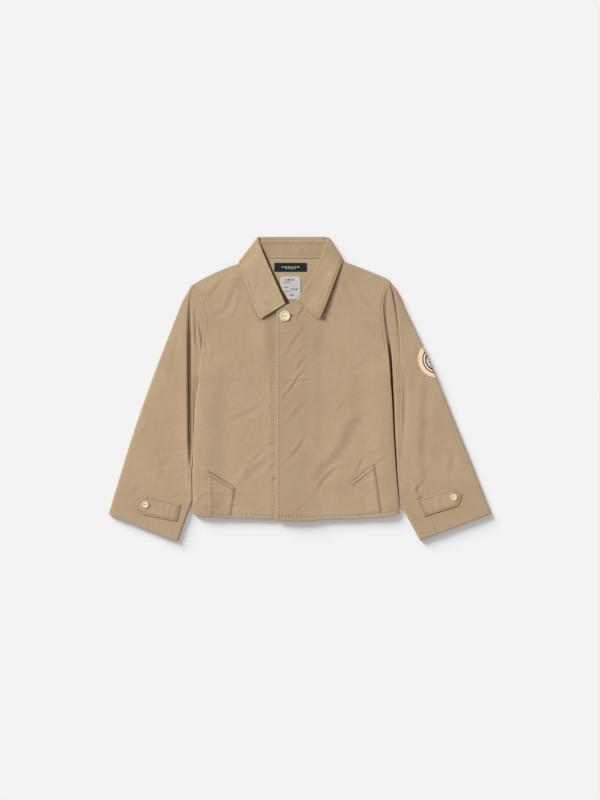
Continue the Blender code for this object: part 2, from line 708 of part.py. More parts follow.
def make_button(name, x, y, diameter, thickness, carrier):
    """A turned button with a raised rim, a dished middle and two holes."""
    radius = diameter / 2
    rim = 0.2 * radius
    profile = [
        (0, 0), (0.82 * radius, 0), (radius, 0.3 * thickness), (radius, 0.68 * thickness),
        (radius - 0.3 * rim, thickness), (radius - rim, thickness),
        (radius - 1.7 * rim, 0.68 * thickness), (0, 0.62 * thickness),
    ]
    shape = bmesh.new()
    points = [shape.verts.new((r * MM, 0, z * MM)) for r, z in profile]
    edges = [shape.edges.new(pair) for pair in zip(points, points[1:])]
    bmesh.ops.spin(shape, geom=points + edges, cent=(0, 0, 0), axis=(0, 0, 1), angle=2 * pi, steps=28)
    bmesh.ops.remove_doubles(shape, verts=shape.verts, dist=0.00001)
    bmesh.ops.recalc_face_normals(shape, faces=shape.faces)
    mesh = bpy.data.meshes.new(name)
    shape.to_mesh(mesh)
    shape.free()
    mesh.materials.append(material("horn button"))
    mesh.shade_smooth()
    button = bpy.data.objects.new(name, mesh)
    drill = bmesh.new()
    for way in (-1, 1):
        made = bmesh.ops.create_cone(drill, cap_ends=True, segments=10, radius1=0.085 * radius * MM,
                                     radius2=0.085 * radius * MM, depth=3 * thickness * MM)
        bmesh.ops.translate(drill, verts=made["verts"], vec=(way * 0.2 * radius * MM, 0, 0))
    holes = bpy.data.meshes.new(name + " holes")
    drill.to_mesh(holes)
    drill.free()
    cutter = bpy.data.objects.new(name + " holes", holes)
    cutter.hide_render = True
    cutter.display_type = "WIRE"
    for made in (button, cutter):
        bpy.context.scene.collection.objects.link(made)
    cutter.parent = button
    height = height_of(carrier)
    ways = [Vector((cos(i * pi / 8), sin(i * pi / 8))) * radius for i in range(16)]
    tops = [height(x + way.x * k, y + way.y * k) for way in ways for k in (0.5, 1)]
    button.location = (x * MM, y * MM, (max(z for z in tops if z) + SEAM) * MM)
    cut = button.modifiers.new("thread holes", "BOOLEAN")
    cut.operation = "DIFFERENCE"
    cut.solver = "EXACT"
    cut.object = cutter


def centre_on_floor():
    """Parents every piece to one empty, so that the origin is below the middle of the coat."""
    bpy.context.view_layer.update()
    graph = bpy.context.evaluated_depsgraph_get()
    pieces = [obj for obj in bpy.context.scene.objects if not obj.hide_render]
    corners = [obj.evaluated_get(graph).matrix_world @ v.co
               for obj in pieces for v in obj.evaluated_get(graph).data.vertices]
    low = [min(p[i] for p in corners) for i in range(3)]
    high = [max(p[i] for p in corners) for i in range(3)]
    coat = bpy.data.objects.new("coat", None)
    bpy.context.scene.collection.objects.link(coat)
    coat.location = (-(low[0] + high[0]) / 2, -(low[1] + high[1]) / 2, -low[2])
    for obj in pieces:
        obj.parent = coat


def main():
    for old in list(bpy.data.objects):
        bpy.data.objects.remove(old)
    make_back()
    make_front_right()
    make_front_left()
    make_sleeve("right")
    rows, shares = make_sleeve("left")
    make_badge(rows, shares)
    make_stand()
    make_leaf()
    for side in ("right", "left"):
        make_pocket(side)
        make_tab(side)
    for (name, *sizes), finish in zip(LABELS, ("dark label", "pale label")):
        make_label(name, *sizes, finish)
    for row in BUTTONS:
        make_button(*row)
    centre_on_floor()


main()
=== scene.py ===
import math
from functools import partial

import bmesh
import bpy
import numpy as np
from mathutils import Matrix, Vector
from mathutils.bvhtree import BVHTree


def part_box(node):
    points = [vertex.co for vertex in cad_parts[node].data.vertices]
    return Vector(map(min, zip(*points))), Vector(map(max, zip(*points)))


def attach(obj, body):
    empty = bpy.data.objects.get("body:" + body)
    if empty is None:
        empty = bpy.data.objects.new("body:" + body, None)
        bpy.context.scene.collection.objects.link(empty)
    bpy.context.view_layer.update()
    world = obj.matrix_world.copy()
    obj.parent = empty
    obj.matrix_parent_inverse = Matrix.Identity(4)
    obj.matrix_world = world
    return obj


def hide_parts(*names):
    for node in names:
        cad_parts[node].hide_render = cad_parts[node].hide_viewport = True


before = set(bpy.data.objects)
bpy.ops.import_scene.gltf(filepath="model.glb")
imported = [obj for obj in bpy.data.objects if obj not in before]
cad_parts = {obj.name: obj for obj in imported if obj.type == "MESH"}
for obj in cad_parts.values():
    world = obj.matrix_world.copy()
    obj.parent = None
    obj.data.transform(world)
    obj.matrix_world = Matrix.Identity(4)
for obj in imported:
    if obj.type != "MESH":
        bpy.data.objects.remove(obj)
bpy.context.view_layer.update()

# A short fly-front coat in washed cotton twill, laid flat on its back. Plan sizes are in
# millimetres about the middle of the coat, +X to the wearer's left, +Y to the neck, +Z up.

mm = 0.001
bothSides = ("right", "left")      # the wearer's

cloth = {
    "wall": 1.4,          # room that one layer takes in the model it is fitted to
    "shell": 0.95,        # one layer as drawn
    "hem": 1.3,           # turned and stitched edges, three layers pressed flat
    "seam": 0.3,          # clearance between layers
    "loft": 3.1,          # air between back and fronts, and in the sleeves
    "edgeRound": 30.0,    # how far in from a folded edge that air takes to build up
    "sideLift": 3.9,      # rise of the back over a tucked sleeve
    "underarmY": 8.0,
    "lightFrom": (-0.86, 0.51),   # creases fall away from here, as pressed in the photograph
    "creaseDepth": 0.92,
    "creaseWidth": 0.85,
}

# The front button is where the frame has it, which ties the plan to the frame.
buttonPlan = {"front": (-31.7, 159.3), "cuffRight": (-338.5, -254.5), "cuffLeft": (338.5, -238.5)}
low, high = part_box("button_front")
planShift = np.array([(low.x + high.x) / 2 / mm - buttonPlan["front"][0],
                      (low.y + high.y) / 2 / mm - buttonPlan["front"][1]])


def mix(low, high, share):
    return low + (high - low) * share


def ease(value, low, high):
    share = np.clip((value - low) / (high - low), 0.0, 1.0)
    return share * share * (3 - 2 * share)


def rounded(distance, reach):
    share = np.clip(distance / reach, 0.0, 1.0)
    return np.sqrt(1 - (1 - share) ** 2)


def bell(distance, width):
    return np.exp(-0.5 * (distance / width) ** 2)


def unit(vectors):
    return vectors / np.linalg.norm(vectors, axis=-1, keepdims=True)


def swelled(share, end, power):
    # rises from near 0 at both ends of a line to 1 along its middle
    return np.sin(np.pi * np.clip(end + (1 - 2 * end) * share, 0, 1)) ** power


def lengthsAlong(points):
    # running length along a run of points, or along each row of a grid of them
    steps = np.linalg.norm(np.diff(points, axis=-2), axis=-1)
    return np.concatenate([np.zeros((*steps.shape[:-1], 1)), np.cumsum(steps, axis=-1)], axis=-1)


def spanned(start, end, shares):
    # points on the way from one point to another, or rows of them between two runs of points
    return start[..., None, :] + (end - start)[..., None, :] * shares[:, None]


def curve(points, steps=8):
    # a Catmull-Rom line through the points
    p = np.array(points, float)
    ends = np.vstack([2 * p[0] - p[1], p, 2 * p[-1] - p[-2]])
    t = np.linspace(0, 1, steps, endpoint=False)[:, None]
    runs = [0.5 * (2 * b + (c - a) * t + (2 * a - 5 * b + 4 * c - d) * t ** 2
                   + (3 * b - a - 3 * c + d) * t ** 3)
            for a, b, c, d in zip(ends, ends[1:], ends[2:], ends[3:])]
    return np.vstack([*runs, p[-1:]])


class Line:
    # a run of points read by the share of its length
    def __init__(self, points):
        self.points = np.array(points, float)
        self.reach = lengthsAlong(self.points)
        self.length = self.reach[-1]

    def at(self, share):
        distance = np.clip(np.asarray(share, float), 0, 1) * self.length
        return np.stack([np.interp(distance, self.reach, self.points[:, k])
                         for k in range(self.points.shape[1])], axis=-1)

    def shareNear(self, point):
        near = np.linalg.norm(self.points - np.array(point, float), axis=1).argmin()
        return self.reach[near] / self.length


def patch(top, bottom, left, right, across, down):
    # rows of plan points inside four lines that meet at their ends
    f, g = across[None, :, None], down[:, None, None]
    t, b = top.at(across)[None], bottom.at(across)[None]
    sides = (1 - f) * left.at(down)[:, None] + f * right.at(down)[:, None]
    corners = ((1 - f) * (1 - g) * t[:, :1] + f * (1 - g) * t[:, -1:]
               + (1 - f) * g * b[:, :1] + f * g * b[:, -1:])
    return (1 - g) * t + g * b + sides - corners


def nearLine(points, x, y):
    # distance to a run of points, the same with a sign (+ on its right), how far along, its length
    best = np.full(np.shape(x), 1e9)
    side, along, reach = np.zeros_like(best), np.zeros_like(best), 0.0
    for (x0, y0), (x1, y1) in zip(points[:-1], points[1:]):
        dx, dy = x1 - x0, y1 - y0
        length = max(math.hypot(dx, dy), 1e-6)
        t = np.clip(((x - x0) * dx + (y - y0) * dy) / length ** 2, 0, 1)
        ax, ay = x - x0 - t * dx, y - y0 - t * dy
        d = np.hypot(ax, ay)
        nearer = d < best
        best = np.where(nearer, d, best)
        side = np.where(nearer, d * np.sign(ax * dy - ay * dx), side)
        along = np.where(nearer, reach + t * length, along)
        reach += length
    return best, side, along, reach


latticeSize = 61        # points each way before the random relief repeats


def unrest(x, y, size, seed):
    # smooth random relief from -1 to 1, with lumps of the given size
    table = np.random.default_rng(seed).uniform(-1, 1, (latticeSize, latticeSize))
    u, v = np.asarray(x) / size + 200.3, np.asarray(y) / size + 200.7
    i, j = np.floor(u).astype(int), np.floor(v).astype(int)
    u, v = ease(u - i, 0, 1), ease(v - j, 0, 1)

    def corner(di, dj):
        return table[(i + di) % latticeSize, (j + dj) % latticeSize]

    return mix(mix(corner(0, 0), corner(1, 0), u), mix(corner(0, 1), corner(1, 1), u), v)


def lumps(rows, x, y):
    # rows of height, size and seed
    return sum(height * unrest(x, y, size, seed) for height, size, seed in rows)


def foldRelief(rows, x, y):
    # Each row is height, width and points. A fold has its crest on the side of the light and
    # drops across its line. A swell (width first negative) is a plain rise or dip.
    total = np.zeros(np.shape(x))
    for height, width, *points in rows:
        height *= cloth["creaseDepth"]
        line = curve(points, 5)
        distance, side, along, reach = nearLine(line, x, y)
        fade = swelled(along / reach, 0.04, 0.8)
        if width < 0:
            total += height * bell(distance, -width) * fade
            continue
        width *= cloth["creaseWidth"]
        run = line[-1] - line[0]
        towardsLight = run[1] * cloth["lightFrom"][0] - run[0] * cloth["lightFrom"][1]
        drop = -side if towardsLight > 0 else side
        total -= height * (drop / width) * np.exp(0.5 - 0.5 * (drop / width) ** 2) * fade
    return total


def puckers(lines, x, y, height=0.22, pitch=6.5, reach=5.0):
    # small gathers across a row of stitches
    total = np.zeros(np.shape(x))
    for n, line in enumerate(lines):
        distance, _, along, _ = nearLine(line, x, y)
        wander = unrest(along, along * 0 + 7, 23.0, 40 + n) * 2.4
        strength = 0.55 + 0.45 * unrest(along, along * 0, 31.0, 60 + n)
        total += height * strength * np.cos(2 * np.pi * along / pitch + wander) * bell(distance, reach)
    return total


bodyPlan = {
    "edge": [  # y, right x, left x: armhole to the underarm, then the side seam
        (229, -232.5, 201.0), (203, -220.0, 187.0), (180, -214.0, 183.5), (154, -208.8, 184.8),
        (128, -210.0, 188.0), (85, -214.5, 193.5), (8, -222.0, 200.5), (-25, -227.5, 203.0),
        (-100, -232.2, 206.8), (-180, -234.0, 212.0), (-246, -234.2, 217.8), (-274.5, -234.3, 218.8),
    ],
    "shoulder": {
        "right": [(-232.5, 229), (-210, 242.3), (-184, 255), (-153, 267.5), (-131, 275), (-89, 291.5)],
        "left": [(201, 229), (199.2, 235.6), (187, 243.6), (157, 256.2), (122, 269.8), (94, 279.6),
                 (66, 291)],
    },
    "neckline": {
        "right": [(-89, 291.5), (-69, 250), (-45, 203), (-30, 184), (-8, 179), (12, 178)],
        "left": [(66, 290), (36, 248), (12, 212), (-2, 193.5), (-10, 189), (-30, 183.5), (-50, 177)],
    },
    "backNeck": [(-89, 291.5), (-78, 287.5), (-40, 286.5), (17, 286.5), (55, 287), (66, 290)],
    "hem": [(-234.3, -277.0), (-226, -279.8), (-210, -282.6), (-164, -286.0), (-107, -285.4), (-48, -288.4),
            (-15, -291.0), (20, -290.0), (67, -287.4), (126, -284.8), (185, -280.2), (206, -277.6),
            (218.8, -273.5)],
    "frontEdgeX": -50.0,
    "underlapX": 12.0,
    "tuckReach": (27.0, 74.0),
    "tuckTop": (18.0, 76.0),
    "tuckHem": (-277.0, -252.0),
    "tuckHemShare": 0.35,
    "collarX": (-176, -142, 104, 138),
    "collarY": (212, 250),
    "lapClearance": 0.45,
    "loftTop": 50,             # above this the air between the layers reaches the side edges
    "shoulderSlack": -6,       # and it starts this far past the shoulder seam
    "calmSide": (0, 9),        # over these distances from side and shoulder the creases build up
    "calmShoulder": (-1, 12),
}


def sideX(side, y):
    table = np.array(bodyPlan["edge"])[::-1]
    return np.interp(y, table[:, 0], table[:, 1 if side == "right" else 2])


def insideEdge(side, x, y):
    return x - sideX("right", y) if side == "right" else sideX("left", y) - x


def shoulderY(x):
    line = np.array(bodyPlan["shoulder"]["right"] + bodyPlan["shoulder"]["left"][::-1], float)
    return np.interp(x, line[:, 0], line[:, 1])


def sideLines(side):
    index = 1 if side == "right" else 2
    rows, armY = bodyPlan["edge"], cloth["underarmY"]
    armhole = curve([(row[index], row[0]) for row in rows if row[0] >= armY])
    seam = curve([(row[index], row[0]) for row in rows if row[0] <= armY])
    return armhole, seam


def backLift(x, y):
    p = bodyPlan
    nearSide = np.maximum(*(1 - ease(insideEdge(side, x, y), *p["tuckReach"]) for side in bothSides))
    belowArm = 1 - ease(y, *p["tuckTop"])
    atHem = mix(p["tuckHemShare"], 1.0, ease(y, *p["tuckHem"]))
    overSleeve = cloth["sideLift"] * nearSide * belowArm * atHem
    acrossNeck = ease(x, *p["collarX"][:2]) * (1 - ease(x, *p["collarX"][2:]))
    overLeaf = (cloth["wall"] + cloth["seam"]) * acrossNeck * ease(y, *p["collarY"])
    return np.maximum(overSleeve, overLeaf)


# Creases of each piece: height, width, then the line that the drop runs along.
creases = {
    "frontRight": [
        (0.75, 7, (-163, 250), (-183, 226), (-203, 199)),
        (0.85, 8, (-129, 247), (-151, 205), (-164, 178), (-197, 156)),
        (-0.9, -16, (-98, 168), (-104, 120), (-92, 70)),
        (1.0, -14, (-86, 150), (-80, 100), (-66, 50)),
        (0.5, 6, (-109, 206), (-97, 170), (-86, 145)),
        (0.5, 6, (-166, 21), (-131, 20), (-98, 22)),
        (0.35, 5, (-116, 42), (-90, 37), (-61, 32)),
        (0.28, 5, (-200, 120), (-192, 85), (-197, 38)),
        (0.55, 4, (-58, 18), (-64, 6), (-62, -8)),
        (0.5, 4, (-58, -30), (-66, -44), (-62, -60)),
        (0.8, 7, (-87, -34), (-105, -47), (-144, -63), (-158, -71)),
        (0.35, 6, (-115, -92), (-132, -118)),
        (0.3, 5, (-152, -95), (-158, -124)),
        (0.75, 4, (-54, -119), (-72, -124), (-84, -126)),
        (0.75, 5, (-82, -137), (-96, -150), (-110, -163)),
        (0.5, 6, (-52, -157), (-66, -178), (-76, -196)),
        (0.75, 5, (-52, -190), (-60, -202), (-70, -208)),
        (0.35, 5, (-112, -172), (-124, -192)),
        (0.55, 4, (-192, -229), (-148, -232), (-98, -234), (-78, -243)),
        (0.5, 4, (-148, -254), (-130, -255), (-110, -262), (-104, -272)),
        (0.4, 4, (-200, -252), (-182, -256)),
        (0.75, 6, (-196, -227), (-216, -237), (-229, -258)),
        (0.4, 6, (-202, -182), (-210, -214)),
        (0.9, 9, (-136, -216), (-106, -180), (-62, -148)),
        (0.4, 6, (-205, 68), (-170, 52), (-120, 54)),
        (0.5, 7, (-128, 232), (-136, 190), (-150, 150)),
        (0.6, -30, (-160, 60), (-140, -60), (-150, -150)),
        (-0.8, -26, (-185, -40), (-175, -140), (-160, -210)),
    ],
    "frontLeft": [
        (0.64, 5, (10, 134), (-12, 107), (-30, 75), (-34, 66)),
        (0.5, 4, (12, 96), (-4, 80)),
        (0.64, 4, (14, 71), (-1, 54), (-8, 41)),
        (1.0, 3.4, (8, 40), (-4, 26), (-16, 6), (-32, -14), (-38, -26)),
        (0.5, 3, (-28, 17), (-4, 18), (30, 20)),
        (0.62, 6, (12, -30), (-6, -48), (-28, -76)),
        (0.8, 5, (12, -102), (0, -124), (-16, -144), (-32, -158)),
        (0.5, 4, (10, -256), (-12, -268)),
        (0.5, 3.5, (0, -276), (-34, -280)),
        (1.7, 15, (146, -50), (112, -84), (94, -126), (66, -158), (48, -182), (34, -208)),
        (0.8, -26, (100, -60), (66, -110), (40, -150)),
        (0.4, 5, (94, -30), (78, -62)),
        (0.95, 5, (108, -168), (78, -176), (56, -196), (42, -214), (26, -238)),
        (0.4, 7, (54, -228), (60, -250)),
        (0.75, 4.5, (144, -150), (134, -162), (120, -186)),
        (0.6, 4, (196, -144), (178, -156), (166, -166)),
        (0.75, 8, (94, 240), (108, 208)),
        (0.85, 6, (132, 206), (154, 180), (176, 158)),
        (0.4, 7, (102, 268), (136, 250)),
        (-0.9, -22, (62, 150), (52, 90), (60, 20)),
        (0.7, -30, (110, 120), (112, 20), (130, -60)),
        (-0.7, -24, (160, 90), (168, -10), (176, -90)),
        (0.45, 5, (192, -246), (212, -250)),
        (0.35, 6, (150, 70), (128, 48), (104, 40)),
        (0.4, 5, (28, 208), (12, 190), (0, 170)),
        (0.85, 4, (10, 182), (4, 172), (-4, 158)),
    ],
    "sleeveRight": [
        (1.0, -9, (-246, 205), (-258, 150), (-268, 60)),
        (0.5, 7, (-262, 150), (-276, 90), (-290, 20)),
        (0.5, -22, (-300, 20), (-318, -90), (-336, -180)),
        (-0.7, -20, (-268, -40), (-280, -130), (-300, -215)),
        (0.6, 5, (-354, -214), (-368, -230)),
        (0.5, 9, (-300, -172), (-312, -200)),
        (0.6, 4, (-248, -178), (-240, -196)),
        (1.3, 3.0, (-246, -164), (-241, -190), (-239, -222)),
        (0.9, 2.6, (-238, -172), (-236, -205), (-236.5, -240)),
        (0.55, 4, (-256, -216), (-238, -236)),
        (0.45, 5, (-260, -232), (-280, -238)),
        (0.5, 6, (-390, -252), (-412, -262)),
        (0.35, 8, (-330, -60), (-350, -110)),
        (0.4, 8, (-285, -150), (-322, -176), (-352, -176)),
    ],
    "stripRight": [
        (0.9, 2.6, (-231, 176), (-231, 157), (-230, 126), (-229, 100), (-226, 84)),
        (0.9, 2.4, (-222.5, 146), (-219.5, 126), (-216, 103), (-216.5, 84)),
    ],
    "stripLeft": [
        (0.35, 3, (191.5, 210), (187.5, 190), (187.2, 165), (189.5, 140), (193.5, 115), (196.5, 90)),
    ],
    "sleeveLeft": [
        (1.1, 6, (222, 36), (226, 0), (226, -60), (218, -150)),
        (0.9, -10, (244, 20), (254, -40), (246, -110), (232, -170)),
        (0.95, 10, (274, 20), (270, -90), (266, -146), (272, -190), (258, -216)),
        (0.7, 9, (334, -140), (330, -184)),
        (1.1, 4, (256, -208), (258, -228), (268, -240)),
        (1.0, 4, (252, -228), (262, -214), (273, -203)),
        (0.3, 5, (225.5, 34), (228.8, -47), (226.6, -129)),
        (0.5, 5, (222, -196), (248, -222)),
        (0.45, 5, (226, -214), (238, -236)),
        (0.4, 10, (330, -40), (352, -120), (384, -190)),
        (0.35, 7, (250, 110), (268, 60)),
    ],
    "leafRight": [
        (0.35, 8, (-120, 240), (-106, 200), (-92, 172)),
        (0.3, 9, (-84, 300), (-94, 258), (-86, 214)),
        (0.45, 5, (-96, 196), (-74, 188), (-56, 192)),
    ],
    "leafLeft": [
        (0.3, 9, (72, 300), (60, 262), (44, 230)),
        (0.3, 8, (60, 232), (48, 204), (40, 178)),
    ],
    "stand": [
        (0.5, 4, (-4, 313), (3, 303), (-2, 292)),
        (0.5, 4, (15, 313), (7, 301), (12, 290)),
        (0.35, 4, (25, 311), (20, 297)),
        (0.4, 2.5, (-12.5, 333), (-12.5, 319)),
        (0.3, 5, (-58, 310), (-50, 296)),
    ],
    "pocketRight": [
        (0.55, 4, (-198, -227), (-172, -231), (-151, -234)),
        (0.45, 4, (-198, -256), (-176, -262), (-158, -271)),
        (0.3, 5, (-186, -206), (-176, -222)),
    ],
    "pocketLeft": [
        (0.4, 5, (147, -234), (136, -246), (124, -252)),
        (0.3, 5, (166, -206), (158, -226)),
    ],
    "tabRight": [
        (0.3, 3, (-296, -246), (-299, -280)),
        (0.3, 3, (-283, -250), (-287, -284)),
        (0.25, 4, (-318, -242), (-312, -276)),
    ],
    "tabLeft": [
        (0.3, 3, (288, -236), (293, -272)),
        (0.25, 3, (306, -230), (311, -266)),
    ],
}

# Rows of stitches on the fronts.
stitchPlan = {
    "hemUp": 8.2,
    "hemEnds": {"right": (-231, -53), "left": (-48, 217)},
    "edgeIn": 4.6,             # in from the front edge, and from and to which height
    "edgeEnds": (174, -288),
    "flyX": 17.2,              # the two rows that hold the fly, and the bar between them
    "flySecondX": 22.6,
    "flyEnds": (176, -280),
    "bar": [(12.0, 20.6), (25.0, 20.0)],
    "armholeIn": (0.6, 5.6),
    "armholeEnds": (92, 222),
    "shoulderDown": 5.0,
}


def hemCurve():
    # the hem with the slight waves that washing leaves
    line = curve(bodyPlan["hem"], 12)
    line[:, 1] += 0.7 * unrest(line[:, 0], line[:, 0] * 0, 21.0, 33)
    return line


def hemBetween(lowX, highX, up=0.0):
    line = hemCurve()
    inner = line[(line[:, 0] > lowX + 1) & (line[:, 0] < highX - 1)]
    ends = [(x, np.interp(x, line[:, 0], line[:, 1])) for x in (lowX, highX)]
    return Line(np.vstack([ends[0], inner, ends[1]]) + (0, up))


def moved(points, distance):
    # a line beside another, on its right for a positive distance
    p = np.array(points, float)
    run = unit(np.gradient(p, axis=0))
    return p + distance * np.stack([run[:, 1], -run[:, 0]], axis=1)


def between(points, lowY, highY):
    p = np.array(points, float)
    return p[(p[:, 1] >= lowY) & (p[:, 1] <= highY)]


def rowsAlong(side):
    # rows of stitches along one front's hem, armhole and shoulder
    p = stitchPlan
    way = -1 if side == "right" else 1
    armhole = between(sideLines(side)[0], *p["armholeEnds"])
    return [hemBetween(*p["hemEnds"][side], p["hemUp"]).points,
            *(moved(armhole, way * inset) for inset in p["armholeIn"]),
            moved(curve(bodyPlan["shoulder"][side][1:]), -way * p["shoulderDown"])]


def rowDown(x, ends, sway=0.0):
    return np.array([(x + sway * math.sin(y / 60), y) for y in np.linspace(*ends, 60)])


flyLine = rowDown(stitchPlan["flyX"], stitchPlan["flyEnds"], 0.6)
flySecondLine = flyLine + (stitchPlan["flySecondX"] - stitchPlan["flyX"], 0)
frontEdgeLine = rowDown(bodyPlan["frontEdgeX"] + stitchPlan["edgeIn"], stitchPlan["edgeEnds"])
seamRows = {
    "right": rowsAlong("right"),
    "left": [frontEdgeLine, flyLine, *rowsAlong("left")],
}

collarShade = {"right": [(-84.7, 152.9), (-58, 168), (-30.6, 185.9)],
               "left": [(45.1, 152.9), (57, 181), (70.4, 216), (92, 273)], "dark": 0.5, "width": 2.6}


def besideCollar(x, y):
    # cloth that the collar's loose edges keep from the light
    rows = [curve(collarShade[side]) for side in bothSides]
    return collarShade["dark"] * alongRows(rows, x, y, collarShade["width"])


pocketPlan = {
    # opening corner at the side, opening corner at the front, lower corners at front and side
    "right": [(-200.5, -182.5), (-140.5, -220.5), (-150, -280.5), (-198.5, -277)],
    "left": [(164, -168), (112, -209.5), (125, -279), (178.5, -274)],
    "dip": 1.3,                # the front sinks by this behind the pocket's loose edge
    "dipWidth": 2.4,
    "gape": 1.1,               # how far that edge stands off the front
    "pressed": -1.3,           # and how far the sewn edges are pressed into it
    "pressedReach": 7,
    "stitchIn": 3.0,
    "openingStitch": 5.0,
    "secondStitch": 7.2,       # second row at the side of the wearer's right pocket
}


def pocketDip(side, x, y):
    p = pocketPlan
    distance, _, along, reach = nearLine(np.array(p[side][:2], float), x, y)
    return -p["dip"] * bell(distance, p["dipWidth"]) * swelled(along / reach, 0.06, 0.4)


def calm(side, x, y):
    # 0 on the edges where a panel meets its neighbour, 1 inside
    return (ease(insideEdge(side, x, y), *bodyPlan["calmSide"])
            * ease(shoulderY(x) - y, *bodyPlan["calmShoulder"]))


def aboveHem(x, y):
    hem = np.array(bodyPlan["hem"])
    return y - np.interp(x, hem[:, 0], hem[:, 1])


def backMiddle(x, y):
    return backLift(x, y) + cloth["wall"] / 2


def bodyLoft(side, x, y):
    belowArm = 1 - ease(y, cloth["underarmY"], bodyPlan["loftTop"])
    atSide = mix(1.0, rounded(insideEdge(side, x, y), cloth["edgeRound"]), belowArm)
    return atSide * ease(shoulderY(x) - y, bodyPlan["shoulderSlack"], cloth["edgeRound"])


def singleFront(side, x, y):
    share = bodyLoft(side, x, y)
    return backMiddle(x, y) + cloth["wall"] + cloth["seam"] + cloth["loft"] * share


frontLook = {
    # lumps have a height, a size and a seed; gathers the first and last of the rows of stitches
    # that they cross, and their height, pitch and reach
    "right": {"lumps": [(0.45, 62, 1), (0.12, 19, 2)],
              "gathers": [(0, 1, 0.42, 8.2, 5.0), (1, 3, 0.45, 7.0, 4.5), (3, 4, 0.15, 6.5, 5.0)]},
    "left": {"lumps": [(0.4, 58, 3), (0.12, 18, 4)],
             "gathers": [(1, 2, 0.1, 6.5, 5.0), (2, 3, 0.42, 8.2, 5.0), (3, 5, 0.55, 7.0, 5.5),
                         (5, 6, 0.15, 6.5, 5.0), (0, 1, 0.5, 8.2, 2.4)]},
    "flatUnder": (-52, -40),   # the underlap loses its creases between these
    "sinkTurn": (20, 110),     # it sinks before the lap, by this much above and below these heights
    "sinkAbove": (3.3, -80, -53),
    "sinkBelow": (1.2, -66, -52),
    "sinkShoulder": (0, 40),
    "leastAir": 0.1,
    "lapFades": (10, 44),      # past the underlap's edge, where the overlap comes down to the back
    "lapDip": -0.62,           # deepest crease over the underlap
    "hemPress": (0, 14, 0.5),  # heights above the hem where creases build up, and their share on it
}


def frontRelief(side, x, y):
    name = "front" + side.capitalize()
    relief = foldRelief(creases[name], x, y) + pocketDip(side, x, y)
    relief += lumps(frontLook[side]["lumps"], x, y)
    for first, last, *gather in frontLook[side]["gathers"]:
        relief += puckers(seamRows[side][first:last], x, y, *gather)
    return relief * calm(side, x, y) * bodyLoft(side, x, y) ** 0.5


def frontRightMiddle(x, y):
    p = frontLook
    relief = frontRelief("right", x, y) * (1 - ease(x, *p["flatUnder"]))
    above, (most, *mostFrom), (least, *leastFrom) = ease(y, *p["sinkTurn"]), p["sinkAbove"], p["sinkBelow"]
    sink = most * ease(x, *mostFrom) * above + least * ease(x, *leastFrom) * (1 - above)
    lying = singleFront("right", x, y) + relief - sink * ease(shoulderY(x) - y, *p["sinkShoulder"])
    return np.maximum(lying, backMiddle(x, y) + cloth["wall"] + p["leastAir"])


def frontLeftMiddle(x, y):
    p = frontLook
    over = 1 - ease(x, *(bodyPlan["underlapX"] + past for past in p["lapFades"]))
    lapped = singleFront("right", x, y) + cloth["wall"] + bodyPlan["lapClearance"]
    base = mix(singleFront("left", x, y), lapped, over)
    *pressed, least = p["hemPress"]
    relief = frontRelief("left", x, y) * mix(least, 1, ease(aboveHem(x, y), *pressed))
    return base + mix(relief, np.maximum(relief, p["lapDip"]), over)


def frontMiddle(side, x, y):
    return frontRightMiddle(x, y) if side == "right" else frontLeftMiddle(x, y)


def alongRows(rows, x, y, width):
    # 1 on any of the lines, falling to 0 beside them
    return np.maximum.reduce([bell(nearLine(line, x, y)[0], width) for line in rows])


faintSeam = 1.4        # millimetres added to the distance from a seam that hardly shows


def addObject(name, data):
    made = bpy.data.objects.new(name, data)
    bpy.context.scene.collection.objects.link(made)
    return made


def meshOf(name, points, faces, finish):
    # a mesh from points in millimetres about the middle of the coat
    points = np.array(points, float).reshape(-1, 3)
    points[:, :2] += planShift
    mesh = bpy.data.meshes.new(name)
    mesh.from_pydata((points * mm).tolist(), [], faces)
    mesh.materials.append(finish)
    return mesh


def tidy(mesh, weldWithin=0.0):
    # joins doubled points and turns every face outwards
    shape = bmesh.new()
    shape.from_mesh(mesh)
    if weldWithin:
        bmesh.ops.remove_doubles(shape, verts=shape.verts, dist=weldWithin)
    bmesh.ops.recalc_face_normals(shape, faces=shape.faces)
    shape.to_mesh(mesh)
    shape.free()


